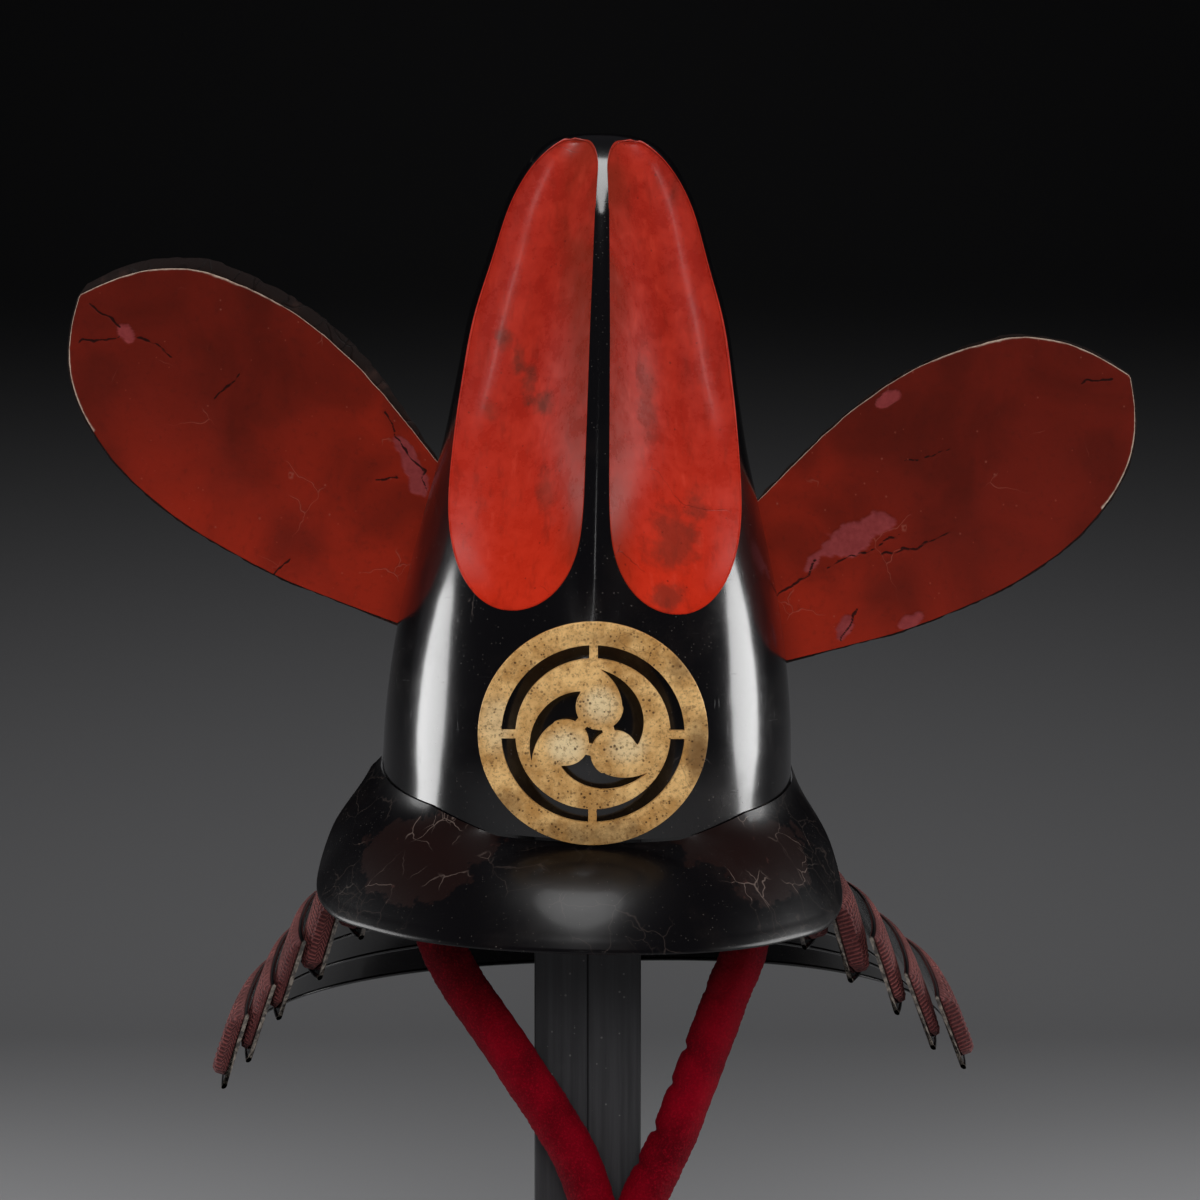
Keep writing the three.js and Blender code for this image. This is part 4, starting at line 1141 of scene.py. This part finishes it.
def wing_layer(name, side, fore, aft, rim, top_rim, worn):
    """One layer of a wing as a closed sheet: rows along it and columns across it on both faces, joined round
    the edge. A column's height goes from the lower edge to the upper one, closer together near them, and the
    sheet is cambered by a parabola across. Worn places are sunk a little, and their rims curl forwards."""
    wing = WINGS[side]
    tip = WING_TIP - 20 * np.cos(np.linspace(0, math.pi / 2, 40))[1:]
    along = np.concatenate([np.linspace(-24, WING_TIP - 20, 230), tip])
    along[-1] = WING_TIP - 0.1
    even = np.linspace(0, 1, WING_COLUMNS["worn" if worn else "plain"])
    t = 0.5 * even + 0.25 * (1 - np.cos(math.pi * even))
    spread = np.clip((along - 20) / 60, 0, 1)
    nibble = (rough_noise(along, 0 * along + (5 if worn else 60), 7.0) - 0.5) * (0.8 if worn else 2.6)
    up = between(WING, 1, along) + rim + (top_rim - rim) * spread + nibble
    low = between(WING, 2, along) - rim - nibble[::-1] * 0.6
    across = low[:, None] * (1 - t) + up[:, None] * t
    length = (wing["long"] * along + (along > 0) * rim)[:, None]
    place = np.broadcast_to(along[:, None], across.shape)
    depth = WING_CAMBER * (1 - (across / WING_HALF) ** 2)
    waves = (rough_noise(place + 50, across + 50, 46.0) - 0.5) * 1.6
    deep = line = pale = np.zeros_like(across)
    if worn:
        deep = flaked(place, across, FLAKES[side])
        line = crack_depth(place, across, CRACKS[side])
        pale = painted_rim_band(place, across, low[:, None], up[:, None])
    curl = np.clip(1 - np.abs(deep - 0.25) / 0.25, 0, 1)
    relief = deep * 0.7 - curl * 0.5 + np.clip((line - 0.65) / 0.35, 0, 1) * 0.35
    front = stacked(wing["mirror"] * length, depth + waves + relief + fore, across)
    rear = stacked(wing["mirror"] * length, depth + waves + aft, across)[:, ::-4]
    made = tube_object(name, at_root(np.concatenate([front, rear], axis=1), wing))
    behind = rear.shape[1]
    for label, values in (("flaked", deep), ("cracked", line), ("painted_rim_highlight", pale)):
        point_values(made.data, label, np.pad(values, ((0, 0), (0, behind))))
    uv = np.stack([place, across], axis=-1)
    point_uv(made.data, "wing", np.concatenate([uv, uv[:, ::-4]], axis=1) * MM)
    return made


def wing_lacquer(side):
    """Old red-brown lacquer on hide: deep brown-red outside, painted more orange towards the root and the
    lower edge as bounce light, with cloudy stains, scratches, hair cracks, dusty maroon where it has flaked
    and a painted highlight along the rim."""
    material, shader, place = finish_named("wing_lacquer_" + side, Specular_IOR_Level=0.18)
    wing_place = node(shader.id_data, "UVMap", uv_map="wing").outputs[0]
    parts = parts_of(wing_place)
    deep, line, pale = [carried(shader, label) for label in ("flaked", "cracked", "painted_rim_highlight")]
    cloud = noise(wing_place, 20, 7, distortion=0.6)
    fine = noise(place, 260, 6, 0.65)
    rubbed = mask(RUBBED, wing_place, Scale=30.0, Share=0.34, Edge=0.12)
    hair = mask(CRACKLE, wing_place, Scale=24.0, Width=0.008, Share=0.43)
    specks = mask(SPECKS, place, Scale=420.0, Size=0.36, Share=0.06)
    # Painted bounce light: the red is made more orange near the root and along the lower edge.
    strength, reach, root_reach = BOUNCE_WARMTH[side]
    near_root = ramped(parts[0], 0.0, root_reach, 0.65, 0.0)
    lower = ramped(parts[1], -0.062, 0.0, strength, 0.0)
    inward = ramped(parts[0], 0.4 * reach, reach, 1.0, 0.25)
    warm = most(near_root, times(lower, inward))
    warm = times(warm, ramped(cloud, 0.3, 0.62, 0.4, 1.0))
    base = mixed(ramped(cloud, 0.35, 0.7), paint(78, 17, 7), paint(98, 22, 10))
    base = mixed(warm, base, paint(158, 36, 14))
    base = mixed(times(rubbed, 0.4), base, paint(62, 20, 15))
    base = mixed(ramped(fine, 0.5, 0.8, 0.0, 0.35), base, paint(56, 12, 8))
    marks = times(most(hair, specks), 0.35)
    base = mixed(marks, base, paint(150, 84, 70))
    base = mixed(deep, base, mixed(fine, paint(96, 26, 28), paint(150, 66, 66)))
    base = mixed(ramped(line, 0.74, 0.88, 0.0, 0.9), base, paint(16, 6, 5))
    # A painted highlight: the rim is made pale where its edge catches the light.
    base = mixed(times(pale, ramped(fine, 0.3, 0.6, 0.4, 0.9)), base, paint(196, 176, 158))
    rough = plus(times(fine, 0.2), 0.36)
    rough = plus(rough, times(deep, 0.3))
    relief = plus(times(fine, 0.25), cloud)
    relief = minus(relief, times(hair, 0.4))
    finished(shader, base, rough, relief, 0.4, 0.0009)
    return material


def dark_hide():
    """The wings' dark second layer: brown-black lacquer gone dull, split and dusty."""
    material, shader, place = finish_named("dark_hide")
    rubbed = mask(RUBBED, place, Scale=40.0, Share=0.45, Edge=0.2)
    cracks = mask(CRACKLE, place, Scale=60.0, Width=0.05, Share=0.6)
    fine = noise(place, 300, 6)
    base = mixed(rubbed, paint(26, 17, 15), paint(66, 44, 38))
    base = mixed(times(cracks, 0.6), base, paint(8, 6, 6))
    rough = plus(times(fine, 0.3), 0.4)
    relief = minus(fine, cracks)
    finished(shader, base, rough, relief, 0.5, 0.0008)
    return material


DARK_HIDE = dark_hide()
for side, wing in WINGS.items():
    behind = WING_FACE + WING_APART
    red, dark = f"wing_{side}_red_sheet", f"wing_{side}_dark_sheet"
    face = wing_layer(red, side, 0.0, WING_FACE, 0.0, 0.0, True)
    back = wing_layer(dark, side, behind, behind + WING_BACK, 1.2, wing["back_top"], False)
    face.data.materials.append(wing_lacquer(side))
    back.data.materials.append(DARK_HIDE)
    for piece, part, slot in ((face, "face", "wing_lacquer"), (back, "back", "wing_back_lacquer")):
        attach(piece, "root")
        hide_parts(f"wing_{side}_{part}")
    repainted(f"wing_{side}_prong", DARK_HIDE)

# ---- Neck guard ----
# Five bands of black lacquered plate that hang one below another round the sides and back, each wider than
# the one above. Each is covered, down to its bare lower edge, by upright silk braids laid close together,
# with two ribbed border braids at either end.

# Each lame's lower half width, rear, end and drops in front and behind, its upper half width, rear and
# height, how far its ends bow in, the degrees that it has swung to the left, and how much further its silk
# puffs out at its front ends, where it fills the step to the next one
LAME_COLUMNS = ("half", "rear", "end", "front", "back", "up_half", "up_rear", "up", "bow", "swing", "puff")
LAME_ROWS = [
    (128, 137.5, -48, -80, -92, 107, 126, -0.8, 115, 0, 9.0),
    (152, 147.5, -52, -99, -111, 138, 141.5, -55, 125, -1, 5.0),
    (170.5, 157, -55, -118, -130, 155, 151, -74, 170, -1.8, 1.4),
    (187, 166.5, -59, -138, -149, 171, 160.5, -95, 200, -2.4, 1.2),
    (200.5, 176, -61, -150, -168, 185.5, 170, -109, 230, -2.9, 4.5),
]
LAMES = [dict(zip(LAME_COLUMNS, row)) for row in LAME_ROWS]
LAME_MIDDLE, LAME_THICK = 5.0, 2.0
LACING = {"gap": 0.6, "thick": 3.2, "bare": 13.0, "braid": 5.4, "border": 8.5}
PUFF_REACH = 55.0
PLATE_STEPS = 300
BRAID_STEPS, BRAID_ROWS = 6, 26


def lame_edge(lame, turn, upper, out):
    """A lame's lower or upper edge, moved outwards: turn runs from the right end round the back to the left
    one. The edge is an oval, shallower in front than behind, and the lower one drops towards the back."""
    half, rear = (lame["up_half"], lame["up_rear"]) if upper else (lame["half"], lame["rear"])
    square = 2.1 - 0.0025 * lame["front"]
    start = math.asin(((LAME_MIDDLE - lame["end"]) / lame["bow"]) ** (square / 2))
    angle = -start + turn * (math.pi + 2 * start)
    depth = np.where(np.sin(angle) < 0, lame["bow"], rear - LAME_MIDDLE) + out
    x, y = oval(half + out, LAME_MIDDLE - depth, LAME_MIDDLE + depth, angle, square)
    backward = (y - lame["end"]) / (lame["rear"] - lame["end"])
    low = lame["front"] + (lame["back"] - lame["front"]) * backward
    high = lame["up"] + 0 * low if lame is LAMES[0] else low + (lame["up"] - lame["front"])
    return stacked(x, y, high if upper else low)


def lame_face(lame, turn, rise, out):
    """Points of a lame's straight slope: from its lower edge at rise 0 to its upper edge at rise 1."""
    rise = np.asarray(rise)[..., None]
    return lame_edge(lame, turn, False, out) * (1 - rise) + lame_edge(lame, turn, True, out) * rise


def hung(points, lame):
    """A lame's points, swung round the helmet's long level axis by its own angle and seated on the post."""
    return seated(points @ turn_matrix(1, lame["swing"]).T)


def slope_of(lame):
    """How long a lame's slope is at its side, from its lower to its upper edge."""
    return math.dist((lame["half"], lame["front"]), (lame["up_half"], lame["up"]))


def plate_rings(lame):
    """A lame's plate: at each step round it a thin upright profile with a rounded bead along the lower edge,
    which stands out on both sides, and a rounded upper edge."""
    turn = np.linspace(0, 1, PLATE_STEPS)[:, None]
    tall = slope_of(lame)
    bead = np.radians(np.linspace(240, -60, 12))
    bead_out, bead_up = 0.15 - LAME_THICK / 2 + 1.45 * np.cos(bead), 1.4 - 1.4 * np.sin(bead)
    steps = np.linspace(3.2, tall - 1, 9)
    out = np.concatenate([bead_out, np.full(9, -LAME_THICK), [-LAME_THICK / 2], np.zeros(9)])
    up = np.concatenate([bead_up, steps, [tall], steps[::-1]])
    return lame_face(lame, turn, up[None, :] / tall, out[None, :])


def braid_rings(lame):
    """A row of upright braids as one skin, with its places for the silk. Its outer face swells over each
    braid by half a sine, the border braids are ribbed across, and its upper and lower edges are rounded.
    Towards the front ends it puffs out, and its lower edge drops, both along a bell-shaped curve."""
    tall = slope_of(lame)
    length = length_of(lame_face(lame, np.linspace(0, 1, 400), np.full(400, 0.3), 0.0))
    border = LACING["border"]
    between_borders = length - 4 * border
    count = int(between_borders / LACING["braid"])
    widths = [border] * 2 + [between_borders / count] * count + [border] * 2
    edges = np.append(0, np.cumsum(widths))
    share = np.linspace(0, 1, BRAID_STEPS, endpoint=False)
    run = np.append((edges[:-1, None] + np.diff(edges)[:, None] * share).ravel(), length)
    swell = np.append(np.tile(np.sin(math.pi * share) ** 0.55, len(edges) - 1), 0)
    which = np.append(np.repeat(np.arange(len(edges) - 1), BRAID_STEPS), len(edges) - 2)
    is_border = (which < 2) | (which > len(edges) - 4)
    top = 0.97 if lame is not LAMES[0] else 0.8
    from_end = np.minimum(run, length - run)[:, None]
    bare = LACING["bare"] - (LACING["bare"] - 3) * np.exp(-(((from_end - 13) / 12) ** 2))
    rise = bare / tall + (top - bare / tall) * np.linspace(0, 1, BRAID_ROWS)[None, :]
    ends_round = np.sqrt(1 - np.linspace(-1, 1, BRAID_ROWS) ** 8)
    ribs = np.abs(np.sin(rise * tall * math.pi / 3.4))
    thick = LACING["thick"] * (0.35 + 0.65 * swell[:, None])
    thick = thick * np.where(is_border[:, None], 0.8 + 0.2 * ribs, 0.86)
    thick = thick * ends_round * np.minimum(1, 0.25 + from_end / 2.5)
    puff = lame["puff"] * np.exp(-((from_end / PUFF_REACH) ** 2)) * np.minimum(1, from_end / 3)
    thick = thick + puff * ends_round**2 * (0.9 + 0.1 * ribs) * (0.75 + 0.25 * swell[:, None])
    turn = (2 + run / length * (length - 4)) / length
    outer = lame_face(lame, turn[:, None], rise, LACING["gap"] + thick)
    inner = lame_face(lame, turn[:, None], rise[:, ::5][:, ::-1], np.full((1, 6), LACING["gap"] - 0.4))
    uv = np.stack(np.broadcast_arrays(run[:, None], rise * tall), -1)
    inner_uv = np.stack(np.broadcast_arrays(run[:, None], np.zeros(inner.shape[:2])), -1)
    across = np.broadcast_to(np.append(np.tile(share, len(edges) - 1), 0)[:, None], outer.shape[:2])
    return np.concatenate([outer, inner], 1), np.concatenate([uv, inner_uv], 1), across, is_border


# The herringbone's ribs, in metres
RIB = {"slant": 0.0075, "pitch": 0.0023}


def silk_finish():
    """Old purple-brown silk: every braid is a herringbone, two sets of slanting ribs that meet along its
    middle, with painted shade in the grooves, paler threads and faded places. The border braids are a little
    darker."""
    material, shader, place = finish_named("silk_lacing", Sheen_Weight=0.18, Sheen_Roughness=0.45)
    shader.inputs["Sheen Tint"].default_value = paint(180, 110, 110)
    parts = parts_of(node(shader.id_data, "UVMap", uv_map="braid").outputs[0])
    slant = times(math_of("ABSOLUTE", minus(carried(shader, "across_braid"), 0.5)), RIB["slant"])
    rib = math_of("SINE", times(plus(parts[1], slant), 2 * math.pi / RIB["pitch"]))
    rib = ramped(rib, -0.8, 0.9)
    fade = noise(place, 34, 5, 0.6)
    thread = noise(place, 900, 3)
    base = mixed(ramped(fade, 0.35, 0.68), paint(100, 50, 48), paint(146, 82, 78))
    # Painted shade: the grooves between the ribs are darkened.
    base = mixed(times(minus(1.0, rib), 0.85), base, paint(34, 12, 15))
    base = mixed(ramped(thread, 0.5, 0.8, 0.0, 0.4), base, paint(156, 104, 98))
    base = mixed(times(carried(shader, "border_braid"), 0.35), base, paint(70, 30, 34))
    relief = plus(rib, times(thread, 0.5))
    finished(shader, base, 0.9, relief, 1.0, 0.0009)
    return material


SILK = silk_finish()
for k, lame in enumerate(LAMES, 1):
    plate = tube_object(f"neck_plate_{k}", hung(plate_rings(lame), lame))
    plate.data.materials.append(BLACK)
    at_end = np.zeros(PLATE_STEPS)
    at_end[[0, -1]] = 1
    point_values(plate.data, "worn_edge", np.repeat(at_end, len(plate.data.vertices) // PLATE_STEPS))
    rings, uv, across, is_border = braid_rings(lame)
    braids = tube_object(f"neck_braids_{k}", hung(rings, lame))
    point_uv(braids.data, "braid", uv * MM)
    behind = rings.shape[1] - across.shape[1]
    point_values(braids.data, "across_braid", np.pad(across, ((0, 0), (0, behind)), constant_values=0.5))
    point_values(braids.data, "border_braid", np.repeat(is_border, rings.shape[1]))
    braids.data.materials.append(SILK)
    for piece, part, slot in ((plate, "neck_lame", "black_lacquer"), (braids, "lacing", "silk_lacing")):
        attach(piece, "root")
        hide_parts(f"{part}_{k}")
for side in ("left", "right"):
    repainted(f"cord_ring_{side}", BLACK)

# ---- Stand ----
# A square post of two hardwood bars side by side on a flat square base, all painted charcoal grey, with a
# block on its top that bears the crown from inside.

BASE = {"wide": 280, "tall": 20}
# The bars stand a split apart behind their rounded edges, and the paint has run into it all but a seam
POST = {"wide": 27.6, "deep": 57, "split": 1.2, "seam": 0.04, "foot": 20.35, "top": 455}


def softened_block(name, low, high, radius):
    """A block with rounded edges: a cube's grid pushed onto the surface at one radius round a smaller block.
    The grid lines stand close together near the edges."""
    low, high = np.array(low, float), np.array(high, float)
    bend = np.linspace(0, math.pi / 4, 5)
    near = np.tan(bend[::-1]) * radius
    faces, points, start = [], [], 0
    middle, half = (low + high) / 2, (high - low) / 2
    for axis in range(3):
        u_axis, v_axis = (axis + 1) % 3, (axis + 2) % 3
        lines = []
        for k in (u_axis, v_axis):
            edge = half[k] - radius
            lines.append(np.concatenate([-edge - near, np.linspace(-edge, edge, 7)[1:-1], edge + near[::-1]]))
        for sign in (-1, 1):
            cube = np.zeros((len(lines[0]), len(lines[1]), 3))
            cube[..., u_axis], cube[..., v_axis] = lines[0][:, None], lines[1][None, :]
            cube[..., axis] = sign * half[axis]
            core = np.clip(cube, -(half - radius), half - radius)
            away = cube - core
            away *= radius / np.maximum(np.linalg.norm(away, axis=-1, keepdims=True), 1e-9)
            grid = grid_faces(len(lines[0]), len(lines[1]), False)
            faces.append((grid if sign > 0 else grid[:, ::-1])[:, ::-1] + start)
            points.append((core + away + middle).reshape(-1, 3))
            start += len(points[-1])
    points, joined = np.unique(np.round(np.vstack(points), 4), axis=0, return_inverse=True)
    return faced_out(mesh_object(name, points * MM, joined.reshape(-1)[np.vstack(faces)]))


def charcoal_paint():
    """Matte charcoal paint on hardwood: the grain shows faintly as long upright streaks, with paler rubbed
    places, dust and a few scuffs."""
    material, shader, place = finish_named("charcoal_paint")
    grain = noise(drawn_out(place, (260.0, 260.0, 9.0)), 1, 5, 0.6)
    rubbed = mask(RUBBED, place, Scale=20.0, Share=0.42, Edge=0.25)
    dust = mask(SPECKS, place, Scale=420.0, Size=0.3, Share=0.1)
    base = mixed(ramped(grain, 0.35, 0.7), paint(44, 44, 46), paint(58, 58, 60))
    base = mixed(times(rubbed, 0.4), base, paint(70, 70, 71))
    base = mixed(times(dust, 0.5), base, paint(130, 128, 124))
    rough = plus(times(grain, 0.2), 0.5)
    finished(shader, base, rough, grain, 0.35, 0.0006)
    return material


CHARCOAL = charcoal_paint()
half_deep, half_base = POST["deep"] / 2, BASE["wide"] / 2
inner_side, outer_side = POST["seam"] / 2, POST["split"] / 2 + POST["wide"]
blocks = {
    "stand_post_left": ((-outer_side, -half_deep, POST["foot"]), (-inner_side, half_deep, POST["top"]), 1.2),
    "stand_post_right": ((inner_side, -half_deep, POST["foot"]), (outer_side, half_deep, POST["top"]), 1.2),
    "stand_base": ((-half_base, -half_base, 0), (half_base, half_base, BASE["tall"]), 3.0),
}
for name, (low, high, radius) in blocks.items():
    block = softened_block(name + "_painted", low, high, radius)
    block.data.materials.append(CHARCOAL)
    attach(block, "root")
    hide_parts(name)
repainted("stand_head", CHARCOAL)
